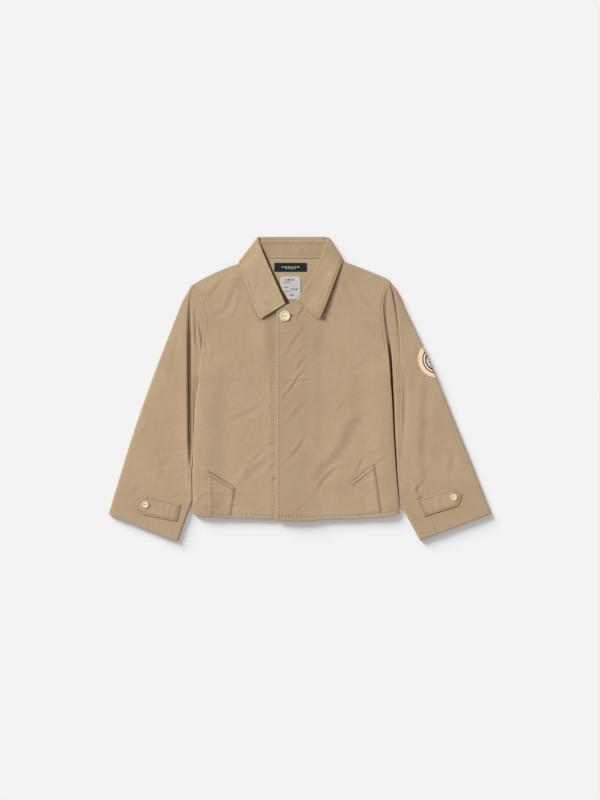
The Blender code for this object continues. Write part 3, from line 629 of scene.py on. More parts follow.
def sheetMesh(name, points, finish, flatUv, thickness=cloth["hem"], thick=None, seams=(), faint=(),
              extra=None, weld=False):
    # a closed shell about a grid of points in millimetres; thick is the share of its thickness
    rows, columns = points.shape[:2]
    i = np.arange(rows * columns).reshape(rows, columns)
    quads = np.stack([i[:-1, :-1], i[1:, :-1], i[1:, 1:], i[:-1, 1:]], axis=-1).reshape(-1, 4)
    mesh = meshOf(name, points, quads.tolist(), finish)
    layer = mesh.uv_layers.new(name="cut")
    loops = np.zeros(len(mesh.loops), np.int32)
    mesh.loops.foreach_get("vertex_index", loops)
    layer.data.foreach_set("uv", (flatUv.reshape(-1, 2)[loops]).astype(np.float32).ravel())
    x, y = points[..., 0], points[..., 1]
    values = dict(extra or {})
    values.setdefault("paintedShade", np.zeros(x.shape))
    near, along = np.full(x.shape, 20.0), np.zeros(x.shape)
    for line, off in [*((line, 0.0) for line in seams), *((line, faintSeam) for line in faint)]:
        distance, _, reach, _ = nearLine(line, x, y)
        along = np.where(distance + off < near, reach, along)
        near = np.minimum(near, distance + off)
    values["seam"], values["along"] = near, along
    for key, data in values.items():
        made = mesh.attributes.new(key, "FLOAT", "POINT")
        made.data.foreach_set("value", np.asarray(data, np.float32).ravel())
    if weld:
        tidy(mesh, 1e-6)
    mesh.shade_smooth()
    piece = addObject(name, mesh)
    wall = piece.modifiers.new("shell", "SOLIDIFY")
    wall.offset = 0.0
    wall.thickness = thickness * mm
    if thick is not None:
        group = piece.vertex_groups.new(name="layers")
        levels = np.round(np.clip(thick, 0.05, 1).ravel(), 2)
        for level in np.unique(levels):
            group.add(np.nonzero(levels == level)[0].tolist(), float(level), "REPLACE")
        wall.vertex_group = "layers"
    return piece


def topOf(*pieces):
    # height of the highest point of some pieces over a plan point, in millimetres
    bpy.context.view_layer.update()
    graph = bpy.context.evaluated_depsgraph_get()
    trees = [BVHTree.FromObject(piece, graph) for piece in pieces]

    def height(x, y):
        start = Vector(((x + planShift[0]) * mm, (y + planShift[1]) * mm, 1.0))
        hits = [tree.ray_cast(start, Vector((0, 0, -1)))[0] for tree in trees]
        return max((hit.z / mm for hit in hits if hit), default=None)

    return height


def overGrid(height, plan, around):
    # highest point of what lies under each plan point and around it
    ways = [(dx, dy) for dx in (-around, 0, around) for dy in (-around, 0, around)]
    z = np.zeros(plan.shape[:2])
    for index in np.ndindex(*z.shape):
        near = [height(plan[index][0] + dx, plan[index][1] + dy) for dx, dy in ways]
        z[index] = max((value for value in near if value is not None), default=0.0)
    return z


# one thread between two needle holes: share of its length, share of its thickness, rise
stitchShape = [(0.0, 0.35, -0.28), (0.16, 0.9, -0.05), (0.5, 1.0, 0.05), (0.84, 0.9, -0.05),
               (1.0, 0.35, -0.28)]
stitchSides = 6
steepestStitch = 2.0       # a stitch is left out where the cloth drops by more, as over an edge


def joinedStitches(name, rows, height, finish=None, pitch=3.4, length=2.5, radius=0.24, lift=0.02):
    # one mesh of lockstitches: short rounded threads that dip into the cloth at both ends
    last = len(stitchShape) - 1
    verts, faces = [], []
    for points in rows:
        line = Line(points)
        count = max(1, int(line.length / pitch))
        half = min(0.49, 0.5 * length / line.length)
        for k in range(count):
            middle = (k + 0.5) / count
            a, b = line.at(middle - half), line.at(middle + half)
            za, zb = height(*a), height(*b)
            if za is None or zb is None or abs(za - zb) > steepestStitch:
                continue
            start, run = np.array([*a, za + lift]), np.array([*b, zb]) - [*a, za]
            across = unit(np.array([run[1], -run[0], 0.0]))
            first = len(verts)
            for share, size, rise in stitchShape:
                for angle in np.linspace(0, 2 * math.pi, stitchSides, endpoint=False):
                    out = across * math.cos(angle) + np.array([0, 0, math.sin(angle)])
                    verts.append(start + run * share + (0, 0, rise) + radius * size * out)
            for s in range(last):
                for n in range(stitchSides):
                    a0, a1 = (first + s * stitchSides + k for k in (n, (n + 1) % stitchSides))
                    faces.append((a0, a1, a1 + stitchSides, a0 + stitchSides))
            ends = range(first, first + stitchSides)
            faces += [tuple(reversed(ends)), tuple(n + last * stitchSides for n in ends)]
    mesh = meshOf(name, verts, faces, finish or thread)
    tidy(mesh)
    mesh.shade_smooth()
    piece = addObject(name, mesh)
    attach(piece, "root")
    return piece


# Materials. Patterns are laid out in millimetres on each cut piece, through the UV map "cut".

def linear(hexColour):
    # sRGB hex to linear red, green, blue and alpha
    parts = [int(hexColour[i:i + 2], 16) / 255 for i in (1, 3, 5)]
    return [*((c / 12.92 if c <= 0.04045 else ((c + 0.055) / 1.055) ** 2.4) for c in parts), 1.0]


def addNode(tree, kind, inputs=(), out=0, **settings):
    # adds a node, sets it and fills its inputs by name or place with values or other outputs
    node = tree.nodes.new("ShaderNode" + kind)
    for key, value in settings.items():
        setattr(node, key, value)
    for spot, value in (inputs if isinstance(inputs, dict) else dict(enumerate(inputs))).items():
        if isinstance(value, bpy.types.NodeSocket):
            tree.links.new(value, node.inputs[spot])
        else:
            node.inputs[spot].default_value = value
    return node.outputs[out] if len(node.outputs) else node


def newMaterial(name):
    made = bpy.data.materials.new(name)
    made.use_nodes = True
    made.node_tree.nodes.clear()
    return made, partial(addNode, made.node_tree)


# settings that many nodes share
times = {"operation": "MULTIPLY"}
timesPlus = {"operation": "MULTIPLY_ADD"}
blend = {"data_type": "RGBA", "out": 2}    # a mix of colours, with its share at 0 and colours at 6 and 7
smooth = {"interpolation_type": "SMOOTHSTEP"}
waveUnit = 0.314                           # distance between the bands of a wave texture of scale 1


def finish(add, **inputs):
    named = {key.replace("_", " "): value for key, value in inputs.items()}
    add("OutputMaterial", [add("BsdfPrincipled", named)])


twillLook = {
    "colour": "#B79F80",       # washed khaki
    "shade": "#A68D6D",        # where dye stays
    "worn": "#CBB697",         # rubbed edges and gathers; also a painted highlight over the wearer's right collar leaf
    "groove": "#8A6F50",       # painted shade in the grooves of the stitch lines
    "paintedShadeTint": "#43240C",       # painted shade: in deep folds and slits, under loose edges, and over whole pieces
    "ribMm": 1.6,              # twill line spacing; real is 0.6 mm, drawn coarser so that it shows
    "yarnMm": 2.4,             # slubs across that many millimetres, again coarser than real
    "gatherMm": 8.2,           # pitch of the gathers beside a row of stitches
    "sheen": 0.12,
}


def twillMaterial():
    # Piece-dyed cotton twill, washed: matt, with a faint diagonal rib, cloudy dye, and pale rubbed
    # edges and gathers beside its stitch lines. Shade is painted into the stitch grooves and, from a
    # vertex attribute, into folds, slits, under loose edges and over whole pieces; the wearer's right
    # collar leaf is painted a little paler.
    made, add = newMaterial("washed cotton twill")
    look = twillLook
    shade, worn = linear(look["shade"]), linear(look["worn"])
    cut = add("UVMap", uv_map="cut")
    seam, along, rubbed, paintedShade = (add("Attribute", out=2, attribute_name=name)
                                 for name in ("seam", "along", "worn", "paintedShade"))
    # the square root of 2 is for bands that lie diagonally
    ribs = add("TexWave", {"Vector": cut, "Scale": waveUnit / look["ribMm"] * 1.414, "Distortion": 1.2,
                           "Detail": 1.0, "Detail Scale": 0.6}, out=1, bands_direction="DIAGONAL")
    yarns = [add("TexNoise", {"Vector": add("Mapping", {"Vector": cut, "Scale": scale}),
                              "Scale": 1 / look["yarnMm"], "Detail": 4.0})
             for scale in ((1.0, 0.22, 1.0), (0.22, 1.0, 1.0))]
    cloud = add("TexNoise", {"Vector": cut, "Scale": 0.012, "Detail": 4.0, "Roughness": 0.6})
    fleck = add("TexNoise", {"Vector": cut, "Scale": 0.09, "Detail": 3.0, "Roughness": 0.65})
    yarn = add("Math", [add("Math", yarns, operation="ADD"), 0.5], **times)
    weave = add("Math", [ribs, 0.5, yarn], **timesPlus)
    colour = linear(look["colour"])
    for tint, spread in ((shade, [cloud, 0.3, 0.72, 0.0, 0.42]), (worn, [fleck, 0.5, 0.8, 0.0, 0.28]),
                         (shade, [weave, 0.45, 1.15, 0.22, 0.0])):
        colour = add("Mix", {0: add("MapRange", spread, **smooth), 6: colour, 7: tint}, **blend)
    wander = add("Math", [fleck, 7.0], **times)
    phase = add("Math", [along, 2 * math.pi / look["gatherMm"], wander], **timesPlus)
    near = add("MapRange", [seam, 1.0, 4.6, 1.0, 0.0], **smooth)
    wave = add("MapRange", [add("Math", [phase], operation="SINE"), -0.2, 1.0, 0.0, 1.0], **smooth)
    gather = add("Math", [near, wave], **times)
    groove = add("MapRange", [seam, 0.5, 2.3, 1.0, 0.0], **smooth)
    rub = add("Math", [rubbed, add("MapRange", [fleck, 0.3, 0.6, 0.45, 1.0], **smooth)], **times)
    # pale gathers and rubbed edges (with the painted paler collar leaf), painted shade in the stitch grooves,
    # then the painted shade that each piece carries as a vertex attribute
    for share, tint, most in ((gather, worn, 0.4), (groove, linear(look["groove"]), 0.42), (rub, worn, 1.0),
                              (paintedShade, linear(look["paintedShadeTint"]), 1.0)):
        colour = add("Mix", {0: add("Math", [share, most], **times), 6: colour, 7: tint}, **blend)
    height = add("Math", [fleck, 0.35], **times)
    for part, much in ((weave, 0.09), (gather, 0.2), (groove, -0.3)):
        height = add("Math", [part, much, height], **timesPlus)
    bump = add("Bump", {"Strength": 0.75, "Distance": mm, "Height": height})
    rough = add("MapRange", [weave, 0.3, 1.2, 0.94, 0.8], **smooth)
    finish(add, Base_Color=colour, Roughness=rough, Normal=bump, Sheen_Weight=look["sheen"],
           Sheen_Roughness=0.5, Specular_IOR_Level=0.25)
    return made


threadLook = {"twistMm": 1.1, "cloudMm": 16.0}


def threadMaterial(name, hexColour, dark):
    # Spun polyester sewing thread: two plies twisted together, a little shinier than the cloth.
    made, add = newMaterial(name)
    spot = add("TexCoord", out=3)
    twist = add("TexWave", {"Vector": spot, "Scale": waveUnit / (threadLook["twistMm"] * mm),
                            "Distortion": 1.0}, out=1, bands_direction="DIAGONAL")
    cloud = add("TexNoise", {"Vector": spot, "Scale": 1 / (threadLook["cloudMm"] * mm), "Detail": 3.0})
    share = add("Math", [twist, 0.35, add("Math", [cloud, 0.4], **times)], **timesPlus)
    colour = add("Mix", {0: share, 6: linear(hexColour), 7: linear(dark)}, **blend)
    bump = add("Bump", {"Strength": 0.5, "Distance": 0.1 * mm, "Height": twist})
    finish(add, Base_Color=colour, Roughness=0.6, Normal=bump, Sheen_Weight=0.1)
    return made


hornLook = {"face": "#F0E1C0", "vein": "#D9BE8F", "groove": "#A07A48", "veinMm": 3.2}


def hornMaterial():
    # Buttons cast in cream polyester to look like horn: smooth, soft gloss, faint drawn-out veins.
    made, add = newMaterial("cast polyester")
    spot = add("Mapping", {"Vector": add("TexCoord", out=3), "Scale": (1.0, 0.35, 1.0)})
    vein = add("TexNoise", {"Vector": spot, "Scale": 1 / (hornLook["veinMm"] * mm), "Detail": 4.0,
                            "Distortion": 1.4})
    share = add("MapRange", [vein, 0.42, 0.72, 0.0, 0.7], **smooth)
    colour = add("Mix", {0: share, 6: linear(hornLook["face"]), 7: linear(hornLook["vein"])}, **blend)
    groove = add("Math", [add("Attribute", out=2, attribute_name="ring"), 0.75], **times)
    colour = add("Mix", {0: groove, 6: colour, 7: linear(hornLook["groove"])}, **blend)
    bump = add("Bump", {"Strength": 0.2, "Distance": 0.1 * mm, "Height": vein})
    finish(add, Base_Color=colour, Roughness=0.4, Normal=bump, Coat_Weight=0.15, Coat_Roughness=0.3)
    return made


labelLook = {
    "dark": {"ground": "#141821", "ground2": "#21252F", "mark": "#B9B6AC"},
    "pale": {"ground": "#CFCBC6", "ground2": "#B4B0AB", "mark": "#2C2B2D"},
    "ribMm": 0.9,
    "soft": 0.15,              # half the width over which a mark's edge fades
}


def labelMaterial(kind, marks):
    # Woven satin tape: fine ribs across and a slight gloss. Its marks are plain bars, each given
    # by middle, half size and, for a broken bar, the pitch of its pieces.
    made, add = newMaterial("woven satin tape " + kind)
    look = labelLook[kind]
    cut = add("UVMap", uv_map="cut")
    across = add("SeparateXYZ", [cut])
    soft, up = labelLook["soft"], across.node.outputs[1]
    ribs = add("TexWave", {"Vector": cut, "Scale": waveUnit / labelLook["ribMm"], "Distortion": 0.6}, out=1,
               bands_direction="Y")
    worn = add("TexNoise", {"Vector": cut, "Scale": 0.22, "Detail": 4.0})
    share = add("Math", [ribs, 0.4, add("Math", [worn, 0.5], **times)], **timesPlus)
    colour = add("Mix", {0: share, 6: linear(look["ground"]), 7: linear(look["ground2"])}, **blend)
    drawn = 0.0
    for x, y, halfX, halfY, pitch in marks:
        inside = []
        for coordinate, middle, half in ((across, x, halfX), (up, y, halfY)):
            off = add("Math", [add("Math", [coordinate, middle], operation="SUBTRACT")], operation="ABSOLUTE")
            inside.append(add("MapRange", [off, half - soft, half + soft, 1.0, 0.0]))
        mask = add("Math", inside, **times)
        if pitch:
            gap = add("Math", [across, pitch], operation="PINGPONG")
            mask = add("Math", [mask, add("MapRange", [gap, 0.25 * pitch, 0.35 * pitch, 0.0, 1.0])], **times)
        drawn = add("Math", [drawn, mask], operation="MAXIMUM")
    faded = add("Math", [drawn, add("MapRange", [worn, 0.3, 0.6, 0.45, 0.95])], **times)
    colour = add("Mix", {0: faded, 6: colour, 7: linear(look["mark"])}, **blend)
    height = add("Math", [ribs, 0.5, add("Math", [worn, 0.9], **times)], **timesPlus)
    bump = add("Bump", {"Strength": 0.5, "Distance": 0.3 * mm, "Height": height})
    finish(add, Base_Color=colour, Roughness=0.6, Normal=bump, Specular_IOR_Level=0.15)
    return made


badgeLook = {
    "field": "#F1E7D6", "edge": "#E6D2B2", "satinMm": 1.1, "satinAt": 25,
    "threads": {"dark": "#16181F", "red": "#8E2420", "cream": "#E9D5B0"},
    # each band's inner and outer radius in millimetres, and its thread
    "bands": {"darkRing": (22.6, 26.0, "dark"), "redRing": (28.8, 32.0, "red"),
              "dashes": (16.5, 20.5, "red"), "hub": (-1.0, 5.2, "dark"), "rays": (8.5, 13.5, "dark"),
              "border": (34.2, 45.0, "cream")},
    "broken": {"dashes": (18, 0.25), "rays": (8, 0.1)},    # pieces round the ring, and how narrow
    "bandSoft": 0.25, "pieceSoft": 0.15,
}


def badgeMaterial():
    # Satin-stitch embroidery on cream felt: glossy threads lie along the radius, and plain rings,
    # dashes and rays stand up a little in two darker ones.
    made, add = newMaterial("satin stitch embroidery")
    look = badgeLook
    cut = add("UVMap", uv_map="cut")
    parts = add("SeparateXYZ", [cut])
    out = add("VectorMath", [cut], out=1, operation="LENGTH")
    angle = add("Math", [parts.node.outputs[1], parts], operation="ARCTAN2")
    grain = add("TexNoise", {"Vector": cut, "Scale": 0.5, "Detail": 4.0})
    count = round(2 * math.pi * look["satinAt"] / look["satinMm"])
    satin = add("Math", [add("Math", [angle, count], **times)], operation="SINE")
    bands, soft = {}, look["bandSoft"]
    for name, (low, high, _) in look["bands"].items():
        inside = add("MapRange", [out, low - soft, low + soft, 0.0, 1.0])
        outside = add("MapRange", [out, high - soft, high + soft, 1.0, 0.0])
        bands[name] = add("Math", [inside, outside], **times)
    soft = look["pieceSoft"]
    for name, (pieces, width) in look["broken"].items():
        turn = add("Math", [add("Math", [angle, pieces], **times)], operation="COSINE")
        part = add("MapRange", [turn, width - soft, width + soft, 0.0, 1.0])
        bands[name] = add("Math", [bands[name], part], **times)
    colour = add("Mix", {0: add("MapRange", [grain, 0.45, 0.8, 0.0, 0.35]), 6: linear(look["field"]),
                         7: linear(look["edge"])}, **blend)
    for name, (_, _, tint) in look["bands"].items():
        colour = add("Mix", {0: bands[name], 6: colour, 7: linear(look["threads"][tint])}, **blend)
    raised = add("Math", [satin, 0.3, grain], **timesPlus)
    for band in bands.values():
        raised = add("Math", [band, 0.9, raised], **timesPlus)
    bump = add("Bump", {"Strength": 0.6, "Distance": 0.35 * mm, "Height": raised})
    finish(add, Base_Color=colour, Roughness=0.65, Normal=bump, Sheen_Weight=0.15)
    return made


def gapMaterial():
    # the shadowed inside of a buttonhole: unlit cut edges of cloth
    made, add = newMaterial("cut cloth in shadow")
    grain = add("TexNoise", {"Vector": add("TexCoord", out=3), "Scale": 1 / mm, "Detail": 3.0})
    colour = add("Mix", {0: grain, 6: linear("#1D150E"), 7: linear("#3A2C1D")}, **blend)
    finish(add, Base_Color=colour, Roughness=1.0)
    return made


twill = twillMaterial()
thread = threadMaterial("spun sewing thread", "#BBA482", "#A08965")
horn = hornMaterial()
print("materials ready")


def shares(count, dense=()):
    # even shares from 0 to 1 with extra ones between pairs of shares, none nearly doubled
    merged = np.unique(np.concatenate([np.linspace(0, 1, count), *(np.linspace(*row) for row in dense)]))
    merged = merged[np.append(True, np.diff(merged) > 0.0004)]
    merged[-1] = 1.0
    return merged


def layers(share):
    # share of the hem's thickness, from one layer of cloth to the turned hem
    return mix(cloth["shell"] / cloth["hem"], 1.0, share)


def declare(piece, node, flatUv, withPieces=()):
    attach(piece, "root")
    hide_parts(node)
    size = [float(np.ptp(flatUv[..., k])) * mm for k in (0, 1)]
    area = min(cutArea(flatUv) * mm * mm, size[0] * size[1])


def cutArea(flatUv):
    u, v = flatUv[..., 0], flatUv[..., 1]
    a = (u[1:, 1:] - u[:-1, :-1]) * (v[:-1, 1:] - v[1:, :-1])
    b = (v[1:, 1:] - v[:-1, :-1]) * (u[:-1, 1:] - u[1:, :-1])
    return float(np.abs(a - b).sum() / 2)


def stacked(plan, z):
    return np.dstack([plan[..., 0], plan[..., 1], z])


hemEdge = Line(hemCurve())
sideEdge = {side: Line(np.vstack([sideLines(side)[0], sideLines(side)[1][1:]])) for side in bothSides}


def nearHem(x, y, width):
    return 1 - ease(aboveHem(x, y), width - 0.8, width + 0.8)


bodyLook = {
    "hemDeep": 9.0,            # how far up the turned hem reaches
    "rubDeep": 1.5,            # and how far up it is rubbed pale
    "sideRub": (0.6, 2.5),     # the same in from the side edges
    "seenBack": [(180, 215), (-110, -90), (60, 80), (268, 285)],   # inside the neck: y, x, x, y
    "flyPlies": (18, 22),      # across these the overlap thins from the fly's plies to one
    "flyShade": (15, 21),
    "edgeRub": (-49.2, -47),   # the front edge, rubbed pale
}


def makeBack():
    right = curve(bodyPlan["shoulder"]["right"])
    left = curve(bodyPlan["shoulder"]["left"])[::-1]
    top = Line(np.vstack([right, curve(bodyPlan["backNeck"])[1:], left[1:]]))
    plan = patch(top, hemEdge, sideEdge["right"], sideEdge["left"], shares(110), shares(120))
    x, y = plan[..., 0], plan[..., 1]
    above, fromRight, toLeft, below = bodyLook["seenBack"]
    seen = ease(y, *above) * ease(x, *fromRight) * (1 - ease(x, *toLeft)) * (1 - ease(y, *below))
    z = backMiddle(x, y) + seen * (0.5 + lumps([(0.5, 34, 5), (0.12, 11, 6)], x, y))
    worn = 0.3 * nearHem(x, y, 1.2) + 0.5 * seen * bell(y - 282.6, 1.3)
    # painted shade: the whole back a little darker
    back = sheetMesh("backPanel", stacked(plan, z), twill, plan, thick=hemPlies(x, y),
                     extra={"worn": worn, "paintedShade": 0.035 + 0 * x})
    declare(back, "back", plan)
    return back


def hemPlies(x, y):
    return layers(nearHem(x, y, bodyLook["hemDeep"]))


def frontRub(side, x, y):
    # how pale the hem and the side of a front are rubbed
    fromSide = insideEdge(side, x, y)
    return 0.5 * nearHem(x, y, bodyLook["rubDeep"]), 0.45 * (1 - ease(fromSide, *bodyLook["sideRub"]))


def makeFrontRight():
    neck, shoulder = bodyPlan["neckline"]["right"], bodyPlan["shoulder"]["right"]
    top = Line(np.vstack([curve(shoulder), curve(neck)[1:]]))
    hem = hemBetween(bodyPlan["hem"][0][0], bodyPlan["underlapX"])
    edge = Line([neck[-1], hem.at(1)])
    plan = patch(top, hem, sideEdge["right"], edge, shares(118, dense=((0, 0.04, 8),)), shares(215))
    x, y = plan[..., 0], plan[..., 1]
    rows = seamRows["right"]
    # painted shade beside the collar's points, and the whole front a little darker
    panel = sheetMesh("frontRightPanel", stacked(plan, frontRightMiddle(x, y)), twill, plan,
                      thick=hemPlies(x, y), seams=rows[:3], faint=rows[3:],
                      extra={"worn": sum(frontRub("right", x, y)), "paintedShade": besideCollar(x, y) + 0.015})
    threads = joinedStitches("frontRightStitches", rows, topOf(panel))
    declare(panel, "front_right", plan, [threads])
    return panel


holePlan = {
    "y": 160.6, "fromX": -21.5, "toX": -16.4, "half": 0.7, "eye": 1.35,
    "threadMm": 0.62, "stitch": (0.3, 2.0), "eyeStitch": (0.2, 1.8),    # from the slit and from its eye
}


def makeButtonhole(panel):
    # the end of the buttonhole that shows beside the button: a slit, its eye and close stitches
    p = holePlan
    turn = np.radians(np.linspace(-60, 88, 7))
    along = np.append(np.linspace(p["fromX"], p["toX"] - p["eye"], 5), p["toX"] + p["eye"] * np.sin(turn))
    half = np.append(np.full(5, p["half"]), p["eye"] * np.cos(turn))
    plan = np.dstack([along[:, None] * np.ones(3), p["y"] + half[:, None] * np.array([1.0, 0.0, -1.0])])
    height = topOf(panel)
    slit = sheetMesh("buttonholeSlit", stacked(plan, overGrid(height, plan, 1.2) + 0.12), gapMaterial(), plan,
                     thickness=0.12)
    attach(slit, "root")
    near, far = p["stitch"]
    rows = [np.array([(x, p["y"] + way * (p["half"] + near)), (x, p["y"] + way * (p["half"] + far))])
            for x in np.arange(p["fromX"], p["toX"] - p["eye"], p["threadMm"]) for way in (-1, 1)]
    near, far = p["eyeStitch"]
    for angle in np.radians(range(-100, 101, 20)):
        way = np.array([math.cos(angle), math.sin(angle)])
        rows.append((p["toX"], p["y"]) + np.outer((p["eye"] + near, p["eye"] + far), way))
    threads = joinedStitches("buttonholeStitches", rows, height, pitch=50.0, length=1.7)
    return [slit, threads]


def makeFrontLeft():
    neck, shoulder = bodyPlan["neckline"]["left"], bodyPlan["shoulder"]["left"]
    top = Line(np.vstack([curve(neck[::-1]), curve(shoulder[::-1])[1:]]))
    hem = hemBetween(bodyPlan["frontEdgeX"], bodyPlan["hem"][-1][0])
    edge = Line([neck[-1], hem.at(0)])
    across = shares(104, dense=((0, 0.05, 16), (0.05, 0.3, 56), (0.96, 1, 8)))
    plan = patch(top, hem, edge, sideEdge["left"], across, shares(250))
    x, y = plan[..., 0], plan[..., 1]
    p = bodyLook
    thick = np.maximum(hemPlies(x, y), layers(1 - ease(x, *p["flyPlies"])))
    hemRub, sideRub = frontRub("left", x, y)
    worn = np.maximum.reduce([hemRub, sideRub, 0.75 * (1 - ease(x, *p["edgeRub"]))])
    rows = seamRows["left"]
    strong, faint = rows[:1] + rows[2:5], [*rows[5:], flyLine, flySecondLine, np.array(stitchPlan["bar"])]
    # painted shade over the fly's plies, beside the collar's points, and a little over the whole front
    shaded = 0.06 * (1 - ease(x, *p["flyShade"])) + besideCollar(x, y) + 0.035
    panel = sheetMesh("frontLeftPanel", stacked(plan, frontLeftMiddle(x, y)), twill, plan, thick=thick,
                      seams=strong, faint=faint, extra={"worn": worn, "paintedShade": shaded})
    threads = joinedStitches("frontLeftStitches", strong + faint, topOf(panel))
    declare(panel, "front_left", plan, [threads, *makeButtonhole(panel)])
    return panel


backPanel = makeBack()
frontRightPanel = makeFrontRight()
frontLeftPanel = makeFrontLeft()
print("body panels ready")


sleevePlan = {
    "outer": {
        "right": [(-239.5, 223.5), (-244.8, 213.0), (-258, 190), (-273.6, 152), (-325, 18), (-370.5, -113),
                  (-419.8, -276.0)],
        "left": [(207.2, 225.4), (219.9, 204.2), (231.2, 177), (250, 137), (302.4, 18), (356.8, -113),
                 (421, -275.3)],
    },
    "fold": {
        "right": [(-235, 227), (-241, 195), (-241.7, 100), (-241.5, 0), (-241, -100), (-241, -173),
                  (-250, -235), (-289, -327.6)],
        "left": [(203.5, 227), (206, 205), (212, 172), (217, 130), (220, 95), (222, 60), (223, -14),
                 (221, -91), (222, -190), (228, -246), (286, -325.3)],
    },
    "inner": {
        "right": [(-220, 8), (-209, -14), (-207, -60), (-211, -130), (-219, -200), (-235.0, -246),
                  (-252.0, -291), (-267.2, -334.9)],
        "left": [(200.5, 8), (190, -14), (188, -60), (192, -130), (201, -200), (218.5, -248),
                 (240.7, -289), (265.4, -333.8)],
    },
    # y, right valley, right slit, left valley, left slit, painted shade of the left slit, each 0 to 1
    "depth": [
        (228, 0.0, 0.0, 0.6, 0.0, 0.3), (220, 0.04, 0.0, 0.95, 0.15, 0.4), (205, 0.2, 0.0, 1.0, 0.4, 0.45),
        (180, 0.45, 0.05, 0.9, 0.6, 0.5), (150, 0.7, 0.1, 0.72, 0.7, 0.5), (120, 0.9, 0.12, 0.48, 0.8, 0.5),
        (104, 0.95, 0.12, 0.38, 0.95, 0.6), (92, 1.0, 0.1, 0.3, 1.0, 0.95), (70, 1.0, 0.08, 0.18, 1.0, 1.0),
        (40, 1.0, 0.08, 0.06, 1.0, 1.0), (10, 1.0, 0.08, 0.0, 1.0, 1.0), (-112, 1.0, 0.1, 0.0, 1.0, 1.0),
        (-145, 0.75, 0.15, 0.0, 1.0, 1.0), (-165, 0.4, 0.2, 0.0, 1.0, 1.0), (-177, 0.0, 0.25, 0.0, 1.0, 1.0),
        (-232, 0.0, 0.25, 0.0, 0.9, 1.0), (-250, 0.0, 0.0, 0.0, 0.0, 0.6), (-285, 0.0, 0.0, 0.0, 0.0, 0.0),
    ],
    "lip": {  # y, right and left distance from the body's edge to the sleeve's lip
        "y": (-285, -246, -150, -60, 20, 70, 110, 150, 190, 215),
        "right": (2.5, 3.0, 6.0, 8.0, 8.0, 7.0, 6.0, 5, 4, 3),
        "left": (4, 3.2, 4.6, 5.4, 7.0, 8.6, 7.6, 6.4, 5.0, 3.5),
    },
    "valley": {  # half width, how deep, how darkly shade is painted into it, and height and reach of the swell beside it
        "right": {"half": 3.9, "depth": 1.0, "dark": 0.78, "swell": (1.1, 9.0)},
        "left": {"half": 1.7, "depth": 0.8, "dark": 0.52, "swell": (0.7, 7.0)},
    },
    # across the valley: millimetres past its lip, share of its width, share of its depth, share of painted
    # shade
    "valleyShape": [
        (0.8, 0, 0.05, 0.0), (1.8, 0, 0.14, 0.05), (2.7, 0, 0.28, 0.18), (3.4, 0, 0.5, 0.42),
        (3.9, 0, 0.75, 0.8), (4.3, 0, 0.95, 1.0), (4.4, 0.5, 1.0, 1.0), (4.4, 1.0, 1.0, 0.95),
        (4.8, 1.0, 0.7, 0.7),
        (4.9, 1.0, 0.35, 0.25), (5.4, 1.0, 0.06, 0.0), (7.0, 1.0, 0.0, 0.0),
    ],
    # down the slit: place across it if open and if closed, share of its depth, share of painted shade
    "slitShape": [
        (0.55, 0.15, 0.12, 0.0), (0.8, 0.35, 0.32, 0.2), (0.35, 0.6, 0.62, 0.7), (-0.5, 0.8, 0.86, 1.0),
        (0.25, 0.88, 1.0, 1.0), (0.6, 0.94, 1.0, 1.0), (1.0, 1.0, 1.0, 1.0),
    ],
    # painted shade in the wearer's right slit
    "rightSlitDark": 0.3,
    "tuck": 1.6,
    "strip": {"right": (0.25, 2.3), "left": (0.5, 3.3)},   # how darkly shade is painted along its creases, and how wide
    "foldRadius": 1.9,
    "wrap": 62.0,              # how far it goes on under the outer fold
    "clear": 0.4,              # gap between sleeve and body at the armhole
    "turnedCuff": (17.0, 19.0),
    "cuffRub": (0.8, 3.0),
}
foldColumn = 16        # column of a sleeve's grid along its outer fold
topColumns = 64        # columns over its top
badgePlan = {
    "radius": 41.0, "belowFold": 17.0, "foot": (286.8, 51), "way": (0.385, -0.923), "cloth": 1.0,
    "liftedAlong": (62, 110), "liftedIn": (60, 82),    # the sleeve settles beyond these
}


def sleeveLines(side):
    away = sleevePlan["clear"] * (-1 if side == "right" else 1)
    armhole = sideLines(side)[0] + (away, 0)
    inner = curve([armhole[-1], *sleevePlan["inner"][side][1:]])
    outer, fold = (Line(curve(sleevePlan[key][side], 10)) for key in ("outer", "fold"))
    return outer, fold, Line(np.vstack([armhole, inner[1:]]))


def badgeLift(side, x, y):
    # the wearer's left sleeve lies on the badge, which goes round its outer fold
    if side == "right":
        return np.zeros(np.shape(x))
    way = np.array(badgePlan["way"])
    dx, dy = x - badgePlan["foot"][0], y - badgePlan["foot"][1]
    along, inward = np.abs(dx * way[0] + dy * way[1]), np.abs(dx * way[1] - dy * way[0])
    near = (1 - ease(along, *badgePlan["liftedAlong"])) * (1 - ease(inward, *badgePlan["liftedIn"]))
    return (cloth["seam"] + badgePlan["cloth"] + 0.1) * near


